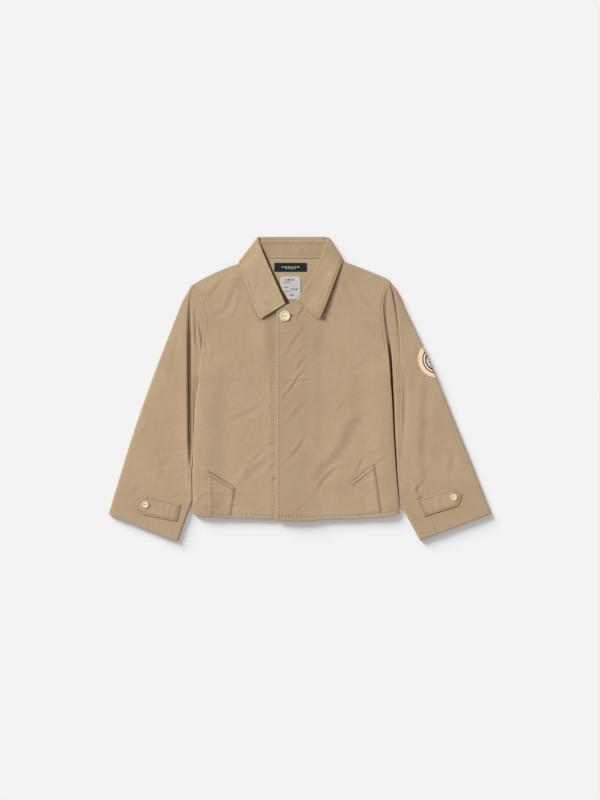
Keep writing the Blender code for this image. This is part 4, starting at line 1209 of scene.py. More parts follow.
def sleeveGrid(side, rowCount):
    # Rings of points from the seam under the sleeve, round the outer fold, over the top,
    # through the main fold and down beside the body, with the cloth's own undercuts.
    outer, fold, inner = sleeveLines(side)
    g = np.linspace(0, 1, rowCount)
    o, m, e = outer.at(g), fold.at(g), inner.at(g)
    inward = unit(e - o)
    radius, wall = sleevePlan["foldRadius"], cloth["wall"]
    axis = o + inward * (radius + wall / 2)
    wrap = np.minimum(sleevePlan["wrap"], 0.5 * np.linalg.norm(e - o, axis=1))
    lift = badgeLift(side, axis[:, 0], axis[:, 1])
    rows, paintedShade = [], []
    table = np.array(sleevePlan["depth"])[::-1]
    lips = sleevePlan["lip"]
    low = 1.5 * wall + cloth["seam"]
    full = low + cloth["loft"]
    facts = sleevePlan["valley"][side]
    for r in range(rowCount):
        y = m[r][1]
        valley = np.interp(y, table[:, 0], table[:, 1 if side == "right" else 3])
        ye = e[r][1]
        slit = np.interp(ye, table[:, 0], table[:, 2 if side == "right" else 4])
        slitDark = sleevePlan["rightSlitDark"] if side == "right" else np.interp(ye, table[:, 0], table[:, 5])
        lip = np.interp(ye, lips["y"], lips[side])
        # each point of the ring also gets a share of painted shade, darkest on the main fold's floor and in
        # the slit
        ring, depth = [], []
        for share in np.linspace(1, 0, 12)[:-1]:
            p = axis[r] + inward[r] * wrap[r] * share
            ring.append((*p, wall / 2 + badgeLift(side, *p)))
            depth.append(0.0)
        for angle in np.radians(np.linspace(0, 180, 11)):
            p = axis[r] - inward[r] * radius * math.sin(angle)
            ring.append((*p, wall / 2 + lift[r] + radius * (1 - math.cos(angle))))
            depth.append(0.0)
        start = wall / 2 + 2 * radius + lift[r]
        overWay, pastWay = m[r] - axis[r], e[r] - m[r]
        overLength, pastLength = np.linalg.norm(overWay), np.linalg.norm(pastWay)
        overWay, pastWay = overWay / overLength, pastWay / pastLength
        arm = ease(ye, 4, 34)
        pastMain = -insideEdge(side, *m[r])
        pastEnd = min(0.0 if arm < 0.01 else sleevePlan["clear"], -insideEdge(side, *e[r]))
        bodyAt = pastLength * min(1.0, pastMain / max(1.0, pastMain - pastEnd))
        endZ = mix(low, float(frontMiddle(side, *e[r])) - 0.15, float(ease(ye, 12, 34)))
        if ye < cloth["underarmY"]:
            endZ = low
        # over the top, to the lip of the main fold
        half, spread = mix(0.4, facts["half"], valley), mix(0.25, 1.0, valley)
        span = max(overLength - half - 4.35 * spread, 2.0)
        swell, swellReach = facts["swell"]
        for share in np.linspace(0, 1, topColumns + 1)[1:]:
            d = span * share
            top = mix(start, full, float(rounded(d, cloth["edgeRound"])))
            p = axis[r] + overWay * d
            ring.append((*p, top + swell * valley * bell(span - d, swellReach)))
            depth.append(0.0)
        crest = ring[-1][2]
        sink = crest - mix(crest, low + 0.15, valley * facts["depth"])
        # main fold: a rounded near side, a floor and a steep far side
        for past, width, share, dark in sleevePlan["valleyShape"]:
            distance = span + past * spread + width * 2 * half
            over, beyond = min(distance, overLength), max(distance - overLength, 0.0)
            p = axis[r] + overWay * over + pastWay * beyond
            ring.append((*p, crest - sink * share))
            depth.append(dark * valley * facts["dark"])
        past = distance - overLength
        lip = min(lip, max(0.8, bodyAt - past - 1.2))
        ridge = max(bodyAt - lip - past, 0.4)
        farZ = ring[-1][2]
        lipZ = mix(full, mix(endZ, full, 0.5), float(arm) * 0.5) + 0.35 * slit
        for share in np.linspace(0, 1, 11)[1:]:
            p = m[r] + pastWay * (past + ridge * share)
            bump = 0.5 * math.sin(math.pi * share) * slit * min(1.0, ridge / 8)
            ring.append((*p, mix(farZ, lipZ, share) + bump))
            depth.append(0.0)
        lipAt = past + ridge
        floorZ = mix(mix(lipZ, endZ, 0.5), low + 0.05, slit)
        floorEnd = bodyAt - mix(0.3, 2.2, float(arm) * slit)
        floorSpan = max(floorEnd - lipAt, 0.3)
        slack = min(1.0, lip / 4.0) * slit
        # an open slit has an undercut wall; a closed one is a plain slope down to the body
        opened = float(ease(slit, 0.12, 0.4))
        for shift, plain, share, dark in sleevePlan["slitShape"]:
            cut = shift * (slack if share < 1 else floorSpan)
            p = m[r] + pastWay * (lipAt + mix(plain * floorSpan, cut, opened))
            ring.append((*p, mix(lipZ, floorZ, share)))
            depth.append(dark * slit * slitDark)
        begin, startZ = lipAt + floorSpan, ring[-1][2]
        for share in np.linspace(0, 1, 13)[1:]:
            tucked = float(arm) * (share > 0.99)
            p = m[r] + pastWay * (mix(begin, pastLength, share) + sleevePlan["tuck"] * tucked)
            z = mix(startZ, endZ, float(ease(share, 0, 1)) if arm > 0.5 else float(ease(share, 0, 0.6)))
            ring.append((*p, z - 0.8 * tucked))
            depth.append(((0.9 - 0.9 * share) * slit * float(arm) + slit * (1 - float(arm))) * slitDark)
        if ye < cloth["underarmY"]:
            innerRound = rounded(np.linspace(0, 1, 12)[::-1] * (pastLength - begin), 16)
            for k in range(12):
                x0, y0, z0 = ring[-12 + k]
                ring[-12 + k] = (x0, y0, mix(low - 0.35, z0, float(innerRound[k])) if k else z0)
        rows.append(ring)
        paintedShade.append(depth)
    grid = np.array(rows)
    arcs = lengthsAlong(grid)
    arcs -= arcs[:, foldColumn:foldColumn + 1]
    flatUv = np.dstack([arcs, -g[:, None] * outer.length * np.ones_like(arcs)])
    return grid, np.array(paintedShade), flatUv, g, outer


def sleeveRelief(side, grid):
    x, y = grid[..., 0], grid[..., 1]
    relief = foldRelief(creases["sleeve" + side.capitalize()], x, y)
    relief += lumps([(0.4, 55, 8), (0.1, 17, 9)], x, y)
    column = np.arange(grid.shape[1])[None, :]
    over = (column > foldColumn + 6) & (column < foldColumn + 6 + topColumns)
    arcs = np.linalg.norm(grid[..., :2] - grid[:, foldColumn:foldColumn + 1, :2], axis=2)
    return np.where(over, relief * ease(arcs, 3, 26), 0.0)


# a dip above the left cuff tab, painted with shade
seamGap = {"line": [(260.6, -242.6), (270.4, -238.4)], "depth": 0.9, "width": 1.5}   # above the left cuff tab
cuffSeam = np.array([(290.0, -282.0), (294.5, -297.0), (300.5, -315.0)])


def makeSleeve(side):
    name = side.capitalize()
    grid, paintedShade, flatUv, g, outer = sleeveGrid(side, 200)
    relief = sleeveRelief(side, grid)
    columns = grid.shape[1]
    last = foldColumn + 5 + topColumns
    grid[..., 2] += relief
    if side == "left":
        off = nearLine(seamGap["line"], grid[..., 0], grid[..., 1])[0]
        gap = bell(off, seamGap["width"]) * (np.arange(columns) > foldColumn + 6)[None, :]
        grid[..., 2] -= seamGap["depth"] * gap
        # painted shade in that dip
        paintedShade = np.maximum(paintedShade, 0.9 * gap ** 2)
    # what lies past the main fold follows its crest, fading towards the body
    carried = relief[:, last:last + 1] * np.linspace(1, 0, columns - last - 1)[None, :]
    grid[:, last + 1:, 2] += carried * np.clip(1 - paintedShade[:, last + 1:], 0, 1) * 0.6
    # creases in the strip between the main fold and the armhole, with shade painted along them
    stripDark, stripWide = sleevePlan["strip"][side]
    for row in creases["strip" + name]:
        pastFold = ((np.arange(columns) > last + 11) & (np.arange(columns) < columns - 2))[None, :]
        grid[..., 2] += foldRelief([row], grid[..., 0], grid[..., 1]) * pastFold
        line = curve(row[2:], 5)
        off, _, along, reach = nearLine(line, grid[..., 0], grid[..., 1])
        ends = np.sin(np.pi * np.clip(along / reach, 0.02, 0.98)) ** 0.5
        paintedShade = np.maximum(paintedShade, stripDark * bell(off, stripWide) * ends * pastFold)
    cuffIn = (1 - g)[:, None] * outer.length * np.ones(columns)[None, :]
    onFold = np.exp(-0.5 * ((np.arange(columns)[None, :] - foldColumn - 2) / 2.5) ** 2)
    worn = np.maximum(0.6 * (1 - ease(cuffIn, *sleevePlan["cuffRub"])), 0.3 * onFold)
    thick = 1 - ease(cuffIn, *sleevePlan["turnedCuff"])
    # painted shade: the wearer's left sleeve a little darker all over, and both darker towards the cuff
    shaded = (0.055 if side == "left" else 0.0) + 0.05 * (1 - ease(cuffIn, 40, 110))
    seams = [cuffSeam] if side == "left" else []
    top = sheetMesh("topSleeve" + name, grid, twill, flatUv, thick=layers(thick), seams=seams,
                    extra={"worn": worn, "paintedShade": np.maximum(paintedShade, shaded)})
    declare(top, "sleeve_top_" + side, flatUv)
    # the under sleeve lies flat on the surface, from that seam to the inner edge
    start, end = grid[::2, 0, :2], sleeveLines(side)[2].at(g[::2])
    begin = start + unit(end - start) * (cloth["seam"] + 0.05)
    plan = spanned(begin, end, np.linspace(0, 1, 26))
    z = cloth["wall"] / 2 + badgeLift(side, plan[..., 0], plan[..., 1])
    across = np.linalg.norm(plan - plan[:, :1], axis=2)
    underUv = np.dstack([across, -g[::2, None] * outer.length * np.ones_like(across)])
    under = sheetMesh("underSleeve" + name, stacked(plan, z), twill, underUv)
    declare(under, "sleeve_under_" + side, underUv)
    return top, (grid, flatUv[..., 0], g, outer)


topSleeves, sleeveForms = {}, {}
for side in bothSides:
    topSleeves[side], sleeveForms[side] = makeSleeve(side)
print("sleeves ready")


# The round badge is bent round the outer fold of the wearer's left sleeve.

badgeLayout = {
    "off": 1.45, "thickness": 0.8, "rings": 18, "steps": 96,
    "beyond": 15.0,            # how far the sleeve's ring is carried on below for the far edge
    # the cord round the rim: how far in, how far off, half width and height, sides, steps, threads
    "cordIn": 1.25, "cordOff": 1.4, "cord": (1.55, 0.6), "cordSides": 8, "cordSteps": 480, "threads": 130,
    "rim": ("#EBD7B0", "#D0A066"),
}


def ringPoint(grid, arcs, shares, arc, share):
    # points of the sleeve's cloth at distances round from its outer fold and along its length
    r = np.clip(np.searchsorted(shares, share) - 1, 0, len(shares) - 2)
    part = (share - shares[r]) / (shares[r + 1] - shares[r])
    found = np.empty((*np.shape(arc), 3))
    for index in np.ndindex(*np.shape(arc)):
        ends = [np.array([np.interp(arc[index], arcs[k], grid[k, :, n]) for n in range(3)])
                for k in (r[index], r[index] + 1)]
        found[index] = mix(ends[0], ends[1], part[index])
    return found


def makeBadge():
    p = badgeLayout
    grid, arcs, g, outer = sleeveForms["left"]
    # the ring goes on under the sleeve for the badge's far edge
    grid = np.concatenate([grid[:, :1] + p["beyond"] * unit(grid[:, :1] - grid[:, 1:2]), grid], axis=1)
    arcs = np.concatenate([arcs[:, :1] - p["beyond"], arcs], axis=1)
    middle = outer.shareNear(badgePlan["foot"])
    radius = badgePlan["radius"]
    rings = np.append(0.02, np.linspace(2, radius - 1.2, p["rings"]))
    angles = np.linspace(0, 2 * math.pi, p["steps"] + 1)

    def movedOut(distance, turn, off):
        arc = -badgePlan["belowFold"] + distance * np.cos(turn)
        share = middle - distance * np.sin(turn) / outer.length
        around = ringPoint(grid, arcs, g, arc + 0.6, share) - ringPoint(grid, arcs, g, arc - 0.6, share)
        down = ringPoint(grid, arcs, g, arc, share + 0.004) - ringPoint(grid, arcs, g, arc, share - 0.004)
        normal = unit(np.cross(around, down))
        return ringPoint(grid, arcs, g, arc, share) + normal * off, normal

    distance, turn = np.meshgrid(rings, angles, indexing="ij")
    flatUv = np.dstack([distance * np.cos(turn), distance * np.sin(turn)])
    badge = sheetMesh("sleeveBadge", movedOut(distance, turn, p["off"])[0], badgeMaterial(), flatUv,
                      thickness=p["thickness"], weld=True)
    # overlocked edge: a cord of close slanted threads round the rim
    sides, steps = p["cordSides"], p["cordSteps"]
    turns = np.linspace(0, 2 * math.pi, steps, endpoint=False)
    centre, normal = movedOut(np.full(steps, radius - p["cordIn"]), turns, p["cordOff"])
    outward = unit(movedOut(np.full(steps, radius - p["cordIn"] + 1), turns, p["cordOff"])[0] - centre)
    half, tall = p["cord"]
    tube = []
    for a in 2 * math.pi * np.arange(sides) / sides:
        swell = 1.0 + 0.09 * np.cos(turns * p["threads"] + a)
        tube.append(centre + (outward * half * math.cos(a) + normal * tall * math.sin(a)) * swell[:, None])
    corners = [(k, n, (k + 1) % steps, (n + 1) % sides) for k in range(steps) for n in range(sides)]
    faces = [(k * sides + n, k * sides + m, j * sides + m, j * sides + n) for k, n, j, m in corners]
    mesh = meshOf("badgeEdge", np.stack(tube, axis=1), faces, threadMaterial("rayon edge thread", *p["rim"]))
    mesh.shade_smooth()
    rim = addObject("badgeEdge", mesh)
    for piece in (badge, rim):
        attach(piece, "root")
        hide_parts("sleeve_badge")


makeBadge()
print("badge ready")


# The collar: a stand round the neck and a leaf that turns down over it.

collarPlan = {
    "leafRoll": {"right": [(-30.6, 185.9), (-54.1, 238.7), (-75.2, 287.0), (-82.8, 305.0), (-88.4, 320.0),
                           (-89.0, 331.6)],
                 "left": [(-7.7, 189.6), (26.6, 248.6), (47.0, 290.0), (62.4, 330.2)]},
    "leafEdge": {"right": [(-84.7, 152.9), (-96.5, 172), (-111.6, 214.5), (-132.4, 275.4)],
                 "left": [(45.1, 152.9), (57, 181), (70.4, 216), (94.2, 279.4)]},
    "leafBackEdge": [(-132.4, 275.4), (-104, 266), (-60, 261), (-14, 260), (30, 261), (68, 267),
                     (94.2, 279.4)],
    "backRoll": [(-89.0, 331.6), (-60, 331.6), (-14, 331.6), (35, 331.6), (56, 332.2), (62.4, 330.2)],
    "standRoll": {"right": [(-40, 208), (-54.5, 240), (-74.4, 284), (-88.3, 327)],
                  "left": [(7, 213), (26, 246), (45, 286), (60.4, 327)]},
    "standSeam": {"right": [(-46.7, 209.5), (-67, 249), (-80.5, 277), (-86.6, 292.5)],
                  "left": [(14, 216.5), (34.8, 248), (52.4, 273), (62.5, 290)]},
    "standBackRoll": [(-88.3, 327), (-84.5, 332.4), (-60, 333), (-14, 333), (35, 333), (55, 333.2),
                      (60.4, 327)],
    "standBackSeam": [(-86.6, 292.5), (-76, 287.6), (-40, 285.4), (17, 285.2), (52, 287.4), (62.5, 290)],
    "leafSeamY": 318.3,                        # where leaf meets stand, inside the neck
    "rollTop": 9.8, "curl": 2.1, "turn": 2.8, "standTurn": 1.1,
    "tipLift": {"right": 5.5, "left": 9.5},    # how far the points stand off the fronts
    # from the front of the wearer's right roll line to its back: share, width of its inner side, which is
    # painted with shade
    "inner": [(0, 7.4), (0.08, 7.0), (0.2, 5.2), (0.35, 4.2), (0.5, 3.2), (0.65, 3.8), (0.85, 3.6), (1, 1.8)],
    "innerZ": 4.3,
    "stitchIn": 6.4, "secondStitchIn": 3.0,
}


def turnedOver(roll, edge, radius, bottom, degrees):
    # plan ends, height and outward normal of a collar piece where it goes over the shoulder
    run = unit(edge - roll)
    out = np.array([-run[1], run[0]])
    if out[0] * roll[0] < 0:
        out = -out
    for angle in np.radians(degrees):
        shift = out * radius * math.sin(angle)
        yield (roll + shift, edge + shift, bottom + radius * (1 + math.cos(angle)),
               np.array([*(out * math.sin(angle)), math.cos(angle)]))


def leafRows(side, across, ground):
    p = collarPlan
    roll, edge = (Line(curve(p[key][side], 12)) for key in ("leafRoll", "leafEdge"))
    creaseRows = creases["leaf" + side.capitalize()]
    turned = cloth["wall"] / 2 + 2 * p["turn"]
    shares = np.unique(np.concatenate([np.linspace(0, 1, 60), [0.004, 0.012, 0.024]]))
    rows = []
    for f in shares:
        a, b = roll.at(f), edge.at(f)
        plan = a + (b - a) * across[:, None]
        z = np.empty(len(across))
        for n, share in enumerate(across):
            under = ground(*plan[n]) if f < 0.93 else 0.0
            lying = max(turned, under + 0.4 + cloth["wall"] / 2)
            rolled = max(lying, p["rollTop"]) + 0.6 * math.sin(math.pi * f)
            top = mix(lying, rolled, (1 - share) ** 2)
            z[n] = max(lying, mix(turned, top, float(ease(1 - f, 0, 0.2))))
        z = np.convolve(np.pad(z, 2, mode="edge"), np.ones(5) / 5, "valid")
        reach = (1 - f) ** (0.65 if side == "left" else 2.4)
        z += p["tipLift"][side] * reach * ease(across, 0.05, 1.0) ** (1.0 if side == "right" else 1.5)
        x, y = plan[:, 0], plan[:, 1]
        soft = ease(1 - f, 0, 0.15)
        z += (foldRelief(creaseRows, x, y) + lumps([(0.35, 26, 21), (0.12, 9, 22)], x, y)) * soft
        inner = np.interp(f, *np.array(p["inner"]).T) if side == "right" else 0.0
        rows.append((np.column_stack([plan, z]), np.array([0.0, 0, 1.0]), inner))
    turns = turnedOver(roll.at(1), edge.at(1), p["turn"], cloth["wall"] / 2, range(20, 170, 20))
    for a, b, z, normal in turns:
        plan = a + (b - a) * across[:, None]
        rows.append((np.column_stack([plan, np.full(len(across), z)]), normal, 0.0))
    return rows, roll, edge


def makeLeaf():
    p = collarPlan
    tops = topOf(frontRightPanel, frontLeftPanel)

    def ground(x, y):
        near = [tops(x + dx, y + dy) for dx, dy in ((0, 0), (-4, 0), (4, 0), (0, -4), (0, 4))]
        return max([z for z in near if z is not None], default=0.0)

    across = np.unique(np.concatenate([np.linspace(0, 1, 30), [0.015, 0.955, 0.975, 0.99]]))
    rightRows, rightRoll, rightEdge = leafRows("right", across, ground)
    leftRows, leftRoll, leftEdge = leafRows("left", across, ground)
    backRoll, backEdge = Line(curve(p["backRoll"], 8)), Line(curve(p["leafBackEdge"], 8))
    back = []
    for f in np.linspace(0, 1, 40):
        a, b = backRoll.at(f), backEdge.at(f)
        plan = a + (b - a) * across[:, None]
        points = np.column_stack([plan, np.full(len(across), cloth["wall"] / 2)])
        back.append((points, np.array([0, 0, -1.0]), 0.0))
    rows = rightRows + back + leftRows[::-1]
    grid, paintedShade = [], []
    for points, normal, inner in rows:
        run = points[-1] - points[0]
        run[2] = 0.0
        run = unit(run - normal * (run @ normal))
        radius = p["curl"] if normal[2] > 0.9 else mix(0.55, 1.25, normal[2] > -0.9)
        centre = points[0] + run * radius - normal * radius
        curl = [centre - run * radius * math.cos(a) + normal * radius * math.sin(a)
                for a in np.radians((-120, -95, -75, -45, -15, 15, 40, 65))]
        if inner:
            low = np.array([*(points[0] - run * inner)[:2], p["innerZ"]])
            curl[:2] = [low, mix(low, curl[2], 0.5)]
        # painted shade: the curl under each roll is darker, and the wearer's right inner side nearly black
        paintedShade.append([0.85, 1.0, 1.0, 0.92, 0.45] if inner else [0.24, 0.24, 0.24, 0.22, 0.14])
        keep = points[2:] if np.linalg.norm(points[1] - points[0]) < radius else points[1:]
        keep = keep[-(len(across) - 2):]
        grid.append(np.vstack([curl, keep]))
    grid = np.array(grid)
    shaded = np.zeros(grid.shape[:2])
    # painted shade: the wearer's left leaf a little darker all over
    shaded[len(grid) // 2:] = 0.06
    shaded[:, :5] = paintedShade
    widths = lengthsAlong(grid)
    along = lengthsAlong(grid[:, grid.shape[1] // 2])
    flatUv = np.dstack([along[:, None] * np.ones_like(widths), -widths])
    rowsIn = np.minimum(np.arange(len(grid)), np.arange(len(grid))[::-1])[:, None]
    columnsIn = np.arange(grid.shape[1])[None, ::-1]
    rim = np.minimum(np.minimum(rowsIn / 3.0, 1.0), np.minimum(columnsIn / 3.0, 1.0))
    thick = mix(0.45, 1.0, rounded(rim, 1.0))
    fromRoll = np.arange(grid.shape[1])[None, :] * np.ones((len(grid), 1))
    onLeft = (np.arange(len(grid)) > len(grid) / 2)[:, None]
    worn = mix(0.35, 0.55, onLeft) * (1 - ease(rim, 0.2, 1.0)) * ease(fromRoll, 6, 12)
    # painted highlight: the wearer's right leaf a little paler all over, in the rubbed colour
    worn = np.maximum(worn, mix(0.2, 0.0, onLeft) * ease(fromRoll, 4, 7))
    stitchRows = []
    for side, roll, edge in (("right", rightRoll, rightEdge), ("left", leftRoll, leftEdge)):
        for inset in (p["stitchIn"], p["secondStitchIn"])[:2 if side == "left" else 1]:
            begin = inset / roll.length
            line = []
            for f in np.linspace(1.0, begin * 1.05, 50):
                a, b = roll.at(f), edge.at(f)
                line.append(b + unit(a - b) * inset)
            turn = line[-1]
            a, b = roll.at(begin * 1.05), edge.at(begin * 1.05)
            line += [mix(turn, a, s) for s in np.linspace(0, 1, 14)[1:]]
            stitchRows.append(np.array(line))
    leaf = sheetMesh("collarLeaf", grid, twill, flatUv, thick=thick, seams=stitchRows,
                     extra={"worn": worn, "paintedShade": shaded}, thickness=1.5)
    return leaf, stitchRows, flatUv


def makeStand():
    p = collarPlan
    across = np.linspace(0, 1, 26)
    bottom = cloth["wall"] * 1.5 + cloth["seam"]
    folded = bottom + 2 * p["standTurn"]
    rows = {}
    for side in bothSides:
        roll, seam = (Line(curve(p[key][side], 10)) for key in ("standRoll", "standSeam"))
        made = []
        for f in np.linspace(0, 0.94, 30):
            a, b = roll.at(f), seam.at(f)
            rise = float(ease(1 - f, 0, 0.25))
            low = mix(folded, float(frontMiddle(side, *b)), rise)
            high = mix(folded, p["rollTop"] - cloth["wall"] - cloth["seam"] - 0.5, rise)
            plan = a + (b - a) * across[:, None]
            made.append(np.column_stack([plan, mix(high, low, ease(across, 0, 1))]))
        for a, b, z, _ in turnedOver(roll.at(1), seam.at(1), p["standTurn"], bottom, range(0, 151, 30)):
            made.append(np.column_stack([a + (b - a) * across[:, None], np.full(len(across), z)]))
        rows[side] = made
    roll, seam = Line(curve(p["standBackRoll"], 8)), Line(curve(p["standBackSeam"], 8))
    back = []
    for f in np.linspace(0, 1, 70):
        plan = roll.at(f) + (seam.at(f) - roll.at(f)) * across[:, None]
        x, y = plan[:, 0], plan[:, 1]
        pillow = 0.8 * ease(across, 0, 0.3) * (1 - ease(across, 0.7, 1))
        z = bottom + pillow + 0.3 * unrest(x, y, 24, 31) * (1 - ease(across, 0.9, 1))
        z += foldRelief(creases["stand"], x, y) - 0.7 * bell(y - p["leafSeamY"], 1.6)
        z += 0.5 * ease(across, 0.86, 0.97) - 0.7 * (1 - ease(across, 0, 0.05)) ** 2
        back.append(np.column_stack([plan, z]))
    grid = np.array(rows["right"] + back + rows["left"][::-1])
    widths = np.linalg.norm(grid - grid[:, :1], axis=2)
    along = lengthsAlong(grid[:, 12])
    flatUv = np.dstack([along[:, None] * np.ones_like(widths), -widths])
    leafSeam = np.array([(x, p["leafSeamY"]) for x in np.linspace(-74, 52, 40)])
    neckSeam = curve(p["standBackSeam"])[4:-4] + (0, 2.2)
    grid[..., 2] += puckers([leafSeam], grid[..., 0], grid[..., 1], 0.25, 9.0, 3.0)
    worn = 0.3 * bell(grid[..., 1] - p["leafSeamY"] - 4.5, 1.8)
    # painted shade: the whole stand darker, most along its seam to the leaf
    shaded = 0.1 + 0.2 * bell(grid[..., 1] - p["leafSeamY"], 1.9)
    stand = sheetMesh("collarStand", grid, twill, flatUv, faint=[leafSeam, neckSeam],
                      extra={"worn": worn, "paintedShade": shaded}, thickness=1.2)
    return stand, [neckSeam], flatUv


collarStand, standRows, standUv = makeStand()
standThreads = joinedStitches("standStitches", standRows, topOf(collarStand))
declare(collarStand, "collar_stand", standUv, [standThreads])
collarLeaf, leafStitchRows, leafUv = makeLeaf()
leafThreads = joinedStitches("leafStitches", leafStitchRows, topOf(collarLeaf))
declare(collarLeaf, "collar_leaf", leafUv, [leafThreads])
print("collar ready")


# Patches: pockets on the fronts and tabs on the sleeves.

patchPlan = {
    "tabs": {  # upper edge from the sleeve seam to the tip, then the lower edge
        "right": [[(-261, -255), (-335.5, -236), (-358, -254)],
                  [(-268.5, -291), (-341, -276.5), (-358, -267)]],
        "left": [[(257.5, -246.5), (336, -220), (356.5, -233)],
                 [(274.5, -280), (345, -258), (350.5, -254)]],
    },
    "tabProud": 0.4, "clearance": 0.35, "tabStitch": 3.0, "seamStitch": (2.2, 6.0),
    "under": {"pocket": -0.6, "tab": -0.65},   # depth of the shaded cloth that shows past an edge
}


def laidOver(carrier, plan, thickness, around=2.5):
    height = topOf(carrier)
    return overGrid(height, plan, around) + patchPlan["clearance"] + thickness / 2


def rimShare(rows, columns, cells=2.0):
    # 0 on the rim of a grid and 1 inside, for edges that thin out
    r = np.minimum(np.arange(rows), np.arange(rows)[::-1])[:, None]
    c = np.minimum(np.arange(columns), np.arange(columns)[::-1])[None, :]
    return np.clip(np.minimum(r, c) / cells, 0, 1)


def besideEdge(a, b, inner, distance, cut=0.02, count=16):
    # a row of stitches beside the edge from a to b, on the side of an inner point
    way = unit(b - a)
    across = np.array([way[1], -way[0]])
    if (inner - a) @ across < 0:
        across = -across
    return spanned(a, b, np.linspace(cut, 1 - cut, count)) + across * distance


def makePocket(side):
    p = pocketPlan
    atSide, atFront, lowFront, lowSide = (np.array(point, float) for point in p[side])
    # rows before 0 are the inside that shows above the opening edge, painted with shade
    g = np.concatenate([[-0.026, -0.013, -0.001], shares(46, dense=((0, 0.03, 4), (0.97, 1, 3)))])
    f = shares(32, dense=((0, 0.03, 3), (0.97, 1, 3)))
    plan = spanned(spanned(atSide, lowSide, g), spanned(atFront, lowFront, g), f)
    carrier = frontRightPanel if side == "right" else frontLeftPanel
    z = laidOver(carrier, plan, 1.0)
    opened = g[:, None] >= 0
    gape = p["gape"] * (1 - ease(g, 0, 0.16))[:, None] * np.sin(np.pi * f)[None] ** 0.7
    x, y = plan[..., 0], plan[..., 1]
    inside = rimShare(*z.shape, 5.0)
    wide, tall = np.linalg.norm(atFront - atSide), np.linalg.norm(lowSide - atSide)
    near = np.minimum((1 - f)[None] * wide, (1 - g)[:, None] * tall)
    if side == "right":
        near = np.minimum(near, f[None] * wide)
    # the sewn edges are pressed into the front, the opening stands off it
    z = z + np.where(opened, gape, patchPlan["under"]["pocket"])
    z = z + mix(p["pressed"], 0.0, ease(near, 0, p["pressedReach"])) * opened
    z = z + inside * opened * (foldRelief(creases["pocket" + side.capitalize()], x, y)
                               + lumps([(0.25, 17, 51), (0.1, 8, 52)], x, y))
    # rows of stitches down both sides and along the opening
    inner = (atSide + lowFront) / 2
    rows = [besideEdge(atSide, lowSide, inner, p["stitchIn"]),
            besideEdge(atFront, lowFront, inner, p["stitchIn"]),
            besideEdge(atSide, atFront, inner, p["openingStitch"])]
    if side == "right":
        rows.append(besideEdge(atSide, lowSide, inner, p["secondStitch"]))
    z = z + inside * puckers(rows, x, y, 0.3, 7.5, 3.5)
    thick = mix(0.5, 1.0, rimShare(*z.shape) ** 0.5)
    worn = 0.3 * bell(g - 0.012, 0.012)[:, None] * np.ones_like(z)
    uneven = 0.5 + 0.2 * unrest(x, y, 9, 54)
    # painted shade inside the opening, beside the side edge of the wearer's left pocket, and along the
    # stitches
    shaded = np.where(opened, 0.03, uneven) + (0.15 * bell(f * wide, 1.2)[None] if side == "left" else 0.0)
    shaded += 0.1 * alongRows(rows, x, y, 1.1) + 0.16 * alongRows(rows[2:3], x, y, 1.2)
    name = side.capitalize()
    pocket = sheetMesh("pocket" + name, stacked(plan, z), twill, plan, thickness=1.25, thick=thick,
                       seams=rows, extra={"worn": worn, "paintedShade": shaded})
    threads = joinedStitches("pocketStitches" + name, rows, topOf(pocket))
    declare(pocket, "pocket_" + side, plan, [threads])


def makeTab(side):
    upper, lower = (Line(points) for points in patchPlan["tabs"][side])
    corner = upper.shareNear(patchPlan["tabs"][side][0][1])
    f = np.unique(np.concatenate([np.linspace(0, 1, 44), [0.006, 0.014, 0.986, 0.994, corner]]))
    # columns past 1 are the cloth under the lower edge, painted with shade
    g = np.concatenate([shares(20, dense=((0, 0.04, 3), (0.96, 1, 3))), [1.004, 1.03, 1.06]])
    plan = spanned(upper.at(f), lower.at(f), g)
    carrier = topSleeves[side]
    z = laidOver(carrier, plan, 1.0)
    x, y = plan[..., 0], plan[..., 1]
    inside = rimShare(*z.shape, 4.0)
    proud = np.where(g[None, :] <= 1, patchPlan["tabProud"], patchPlan["under"]["tab"])
    z = z + proud + inside * (0.4 * unrest(x, y, 9, 61) + 0.2 * unrest(x * 0.4, y, 5, 62)
                              + foldRelief(creases["tab" + side.capitalize()], x, y))
    # a row of stitches inside each free edge and two across the end at the sleeve's seam
    outline = np.array([*patchPlan["tabs"][side][0], *patchPlan["tabs"][side][1][::-1]], float)
    centre = np.mean(outline, axis=0)
    rows = []
    for a, b in zip(outline, outline[1:]):
        cut = min(0.3, 1.5 / np.linalg.norm(b - a))
        rows.append(besideEdge(a, b, centre, patchPlan["tabStitch"], cut, 10))
    a, b = outline[-1], outline[0]
    toTip = unit((upper.at(0.5) + lower.at(0.5)) / 2 - (a + b) / 2)
    rows += [spanned(a, b, np.linspace(0.06, 0.94, 8)) + toTip * off for off in patchPlan["seamStitch"]]
    thick = mix(0.5, 1.0, rimShare(*z.shape) ** 0.5)
    worn = 0.5 * (1 - rimShare(*z.shape, 3.0)) * (g <= 1)[None, :]
    # painted shade under the lower edge and along the stitches
    shaded = np.where(g > 1, 0.5, 0.04)[None, :] + 0.14 * alongRows(rows, x, y, 1.1)
    name = side.capitalize()
    flatUv = plan - plan[:1, :1]
    tab = sheetMesh("cuffTab" + name, stacked(plan, z), twill, flatUv, thickness=1.5, thick=thick, seams=rows,
                    extra={"worn": worn, "paintedShade": shaded})
    threads = joinedStitches("tabStitches" + name, rows, topOf(tab))
    declare(tab, "tab_" + side, flatUv, [threads])
    return tab


for side in bothSides:
    makePocket(side)
tabPieces = {side: makeTab(side) for side in bothSides}
print("pockets and tabs ready")


# Labels inside the neck: woven tape with plain bars.

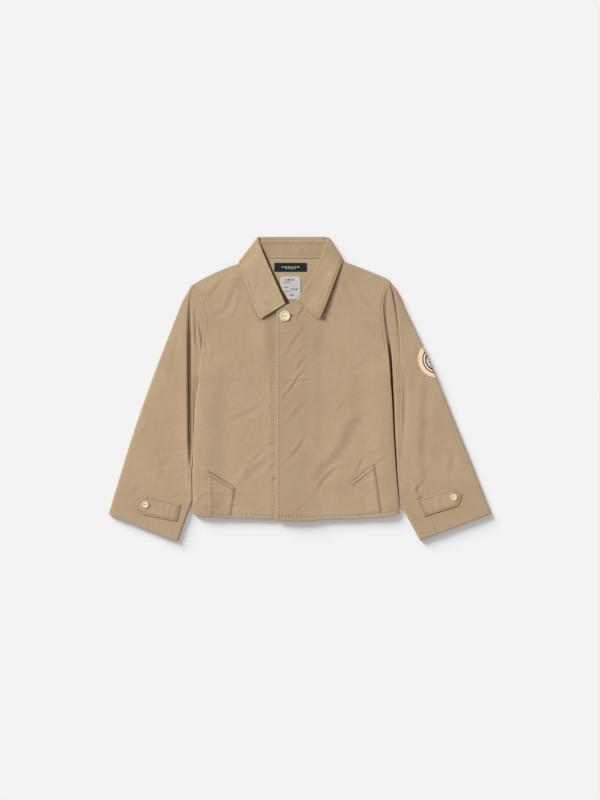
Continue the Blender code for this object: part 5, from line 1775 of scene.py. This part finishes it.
labelPlan = {
    # left, right, top and bottom, then the radius of the upper and of the lower corners
    "neck": {"box": (-56.0, 16.5, 276.0, 256.5), "round": (2.0, 2.0), "look": "dark", "finish": thread},
    "size": {"box": (-42.4, 2.8, 246.4, 196.0), "round": (5.0, 1.0), "look": "pale", "finish": None},
}
labelMarks = {
    # middle x and y, half width and height, pitch of a broken bar
    "neck": [(0.0, 0.6, 21.0, 1.3, 3.4), (0.0, -3.0, 12.0, 0.5, 0.0)],
    "size": [(-1.0, 17.5, 10.5, 2.0, 3.9), (-7.0, 11.6, 8.0, 1.0, 2.6), (-10.0, 1.0, 5.0, 1.1, 2.2),
             (9.0, -3.0, 8.0, 1.3, 2.8), (-7.0, -7.5, 8.0, 1.1, 2.4), (2.0, -16.0, 4.5, 2.0, 4.4)],
}


def makeLabel(kind):
    facts = labelPlan[kind]
    left, right, top, bottom = facts["box"]
    middle = np.array([(left + right) / 2, (top + bottom) / 2])
    close = np.array([0.3, 0.9, 1.8])
    y = np.unique(np.concatenate([np.linspace(bottom, top, 22), top - close, bottom + close]))[::-1]
    inset = np.zeros(len(y))
    for distance, radius in zip((top - y, y - bottom), facts["round"]):
        gone = np.clip(radius - distance, 0, radius)
        inset = np.maximum(inset, radius - np.sqrt(radius ** 2 - gone ** 2))
    x = middle[0] + ((right - left) / 2 - inset)[:, None] * np.linspace(-1, 1, 30)[None]
    plan = np.dstack([x, y[:, None] * np.ones_like(x)])
    z = laidOver(backPanel, plan, 0.5, 1.5) + 0.3 * unrest(x, plan[..., 1], 15, 71) * rimShare(*x.shape, 4.0)
    look = labelMaterial(facts["look"], labelMarks[kind])
    label = sheetMesh(kind + "Label", stacked(plan, z), look, plan - middle, thickness=0.5)
    rows = [np.array([(edge, top - 1.6), (edge, bottom + 1.6)]) for edge in (left + 1.4, right - 1.4)]
    if kind == "size":
        rows = [np.array([(left + 7, top - 1.5), (right - 7, top - 1.5)])]
    threads = joinedStitches(kind + "LabelStitches", rows, topOf(label), finish=facts["finish"], pitch=2.6,
                             length=1.9, radius=0.22)
    declare(label, "label_" + kind, plan, [threads])


for kind in labelPlan:
    makeLabel(kind)
print("labels ready")


# Buttons: turned with a raised rim and a dished middle, two holes, and crossed thread.

buttonLook = {
    # from the middle of the underside, round the raised rim, to the dished middle: shares of
    # the radius and of the height
    "profile": [(0, 0), (0.8, 0), (0.93, 0.08), (0.985, 0.24), (1, 0.45), (0.992, 0.7), (0.956, 0.92),
                (0.89, 1), (0.83, 0.97), (0.77, 0.86), (0.71, 0.73), (0.64, 0.67), (0.5, 0.64), (0.42, 0.6),
                (0.36, 0.62), (0, 0.6)],
    "hole": 0.12, "holesApart": 0.24, "segments": 56,
    "threadRadius": 0.36, "strands": 2, "ring": (0.68, 0.79),
}


def makeButton(name, node, spot, carriers):
    low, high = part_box(node)
    radius = (high.x - low.x) / 2 / mm
    tall = (high.z - low.z) / mm
    profile = [(r * radius, z * tall) for r, z in buttonLook["profile"]]
    shape = bmesh.new()
    points = [shape.verts.new((r * mm, 0, z * mm)) for r, z in profile]
    edges = [shape.edges.new(pair) for pair in zip(points, points[1:])]
    bmesh.ops.spin(shape, geom=points + edges, cent=(0, 0, 0), axis=(0, 0, 1), angle=2 * math.pi,
                   steps=buttonLook["segments"])
    bmesh.ops.remove_doubles(shape, verts=shape.verts, dist=1e-6)
    bmesh.ops.recalc_face_normals(shape, faces=shape.faces)
    mesh = bpy.data.meshes.new(name)
    shape.to_mesh(mesh)
    shape.free()
    mesh.materials.append(horn)
    button = bpy.data.objects.new(name, mesh)
    drill = bmesh.new()
    wide, apart = (buttonLook[key] * radius for key in ("hole", "holesApart"))
    for way in (-1, 1):
        made = bmesh.ops.create_cone(drill, cap_ends=True, segments=18, radius1=wide * mm, radius2=wide * mm,
                                     depth=4 * tall * mm)
        bmesh.ops.translate(drill, verts=made["verts"], vec=(way * apart * mm, 0, 0))
    holes = bpy.data.meshes.new(name + "Holes")
    drill.to_mesh(holes)
    drill.free()
    cutter = bpy.data.objects.new(name + "Holes", holes)
    for made in (button, cutter):
        bpy.context.scene.collection.objects.link(made)
    cut = button.modifiers.new("threadHoles", "BOOLEAN")
    cut.operation, cut.solver, cut.object = "DIFFERENCE", "EXACT", cutter
    bpy.context.view_layer.update()
    drilled = bpy.data.meshes.new_from_object(button.evaluated_get(bpy.context.evaluated_depsgraph_get()))
    button.modifiers.clear()
    button.data = drilled
    bpy.data.objects.remove(cutter)
    drilled.shade_smooth()
    drilled.set_sharp_from_angle(angle=math.radians(50))
    # the ring inside the raised rim is coloured darker
    ring = drilled.attributes.new("ring", "FLOAT", "POINT")
    nearest, furthest = (share * radius * mm for share in buttonLook["ring"])
    ring.data.foreach_set("value", [float(nearest < v.co.xy.length < furthest and v.co.z > 0.5 * tall * mm)
                                    for v in drilled.vertices])
    height = topOf(*carriers)
    ways = [(spot[0] + radius * share * math.cos(a), spot[1] + radius * share * math.sin(a))
            for a in np.linspace(0, 2 * math.pi, 16, endpoint=False) for share in (0.4, 0.8, 1.0)]
    base = max(z for z in (height(*way) for way in ways) if z is not None) + 0.12
    x, y = (np.array(spot) + planShift) * mm
    button.data.transform(Matrix.Translation((x, y, base * mm)))
    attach(button, "root")
    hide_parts(node)
    # thread between the holes, a few strands side by side
    strands = []
    for n in range(buttonLook["strands"]):
        off = (n - (buttonLook["strands"] - 1) / 2) * 0.5 * buttonLook["threadRadius"] * 1.6
        strands.append(np.array([(spot[0] - apart, spot[1] + off), (spot[0] + apart, spot[1] - off)]))
    flat = base + 0.62 * tall
    joinedStitches(name + "Thread", strands, lambda x, y: flat, finish=buttonThread, pitch=50,
                   length=1.9 * apart, radius=buttonLook["threadRadius"] * 0.8, lift=0.25)


buttonThread = threadMaterial("waxed button thread", "#A98C5C", "#6E5632")
makeButton("frontButton", "button_front", buttonPlan["front"], [frontLeftPanel])
for side in bothSides:
    name = side.capitalize()
    makeButton("cuffButton" + name, "button_cuff_" + side, buttonPlan["cuff" + name], [tabPieces[side]])
print("buttons ready")


# Floor, light and camera.

studio = {
    "distance": 3.2, "photoHeight": 1.76, "centrePlan": (1.1, -25.3), "level": 1.06, 
    "floor": ("#EDEDED", "#ECECEC"), "floorHalf": 6.0, "floorDown": 0.0004, "sensor": 36.0,
    "keyColour": (0.977, 1.01, 1.003), "fillColour": (1.035, 0.985, 0.995),
    # azimuth, elevation and angle in degrees, then the share of the light that it gives
    "key": (149.0, 40.0, 24.0, 0.6), "floorKey": (132.0, 16.5, 21.0, 0.5),
    "floorTop": (135.0, 86.0, 40.0, 0.1),
}


def addSun(name, floor):
    # a sun for the floor alone, or the key for all but the floor, whose shadows are longer and paler
    azimuth, elevation, angle, share = studio[name]
    azimuth, elevation = math.radians(azimuth), math.radians(elevation)
    sun = bpy.data.lights.new(name, "SUN")
    sun.angle = math.radians(angle)
    sun.energy = math.pi * studio["level"] * share / math.sin(elevation)
    sun.color = studio["keyColour"]
    lamp = addObject(name, sun)
    way = Vector((math.cos(azimuth) * math.cos(elevation), math.sin(azimuth) * math.cos(elevation),
                  math.sin(elevation)))
    lamp.rotation_euler = way.to_track_quat("Z", "Y").to_euler()
    group = bpy.data.collections.new(name + "Receivers")
    group.objects.link(floor)
    group.collection_objects[0].light_linking.link_state = "EXCLUDE" if name == "key" else "INCLUDE"
    lamp.light_linking.receiver_collection = group


def makeStudio():
    scene = bpy.context.scene
    scene.view_settings.view_transform = "Standard"
    mesh = bpy.data.meshes.new("floor")
    half, down = studio["floorHalf"], studio["floorDown"]
    corners = [(x * half, y * half, -down) for x, y in ((-1, -1), (1, -1), (1, 1), (-1, 1))]
    mesh.from_pydata(corners, [], [(0, 1, 2, 3)])
    floor = addObject("floor", mesh)
    made, add = newMaterial("matt white paint")
    grain = add("TexNoise", {"Vector": add("TexCoord", out=3), "Scale": 3.0, "Detail": 2.0})
    first, second = studio["floor"]
    colour = add("Mix", {0: grain, 6: linear(first), 7: linear(second)}, **blend)
    finish(add, Base_Color=colour, Roughness=0.9, Specular_IOR_Level=0.0)
    mesh.materials.append(made)
    world = bpy.data.worlds.new("studio")
    world.use_nodes = True
    ground = world.node_tree.nodes["Background"]
    ground.inputs[0].default_value = (*studio["fillColour"], 1)
    ground.inputs[1].default_value = studio["level"] * (1 - studio["key"][3])
    scene.world = world
    for name in ("key", "floorKey", "floorTop"):
        addSun(name, floor)
    camera = bpy.data.cameras.new("overhead")
    camera.sensor_width = studio["sensor"]
    camera.lens = studio["sensor"] * studio["distance"] / studio["photoHeight"]
    camera.clip_end = 50.0
    eye = addObject("overhead", camera)
    x, y = (np.array(studio["centrePlan"]) + planShift) * mm
    eye.location = (x, y, studio["distance"])
    scene.camera = eye


makeStudio()
print("studio ready")
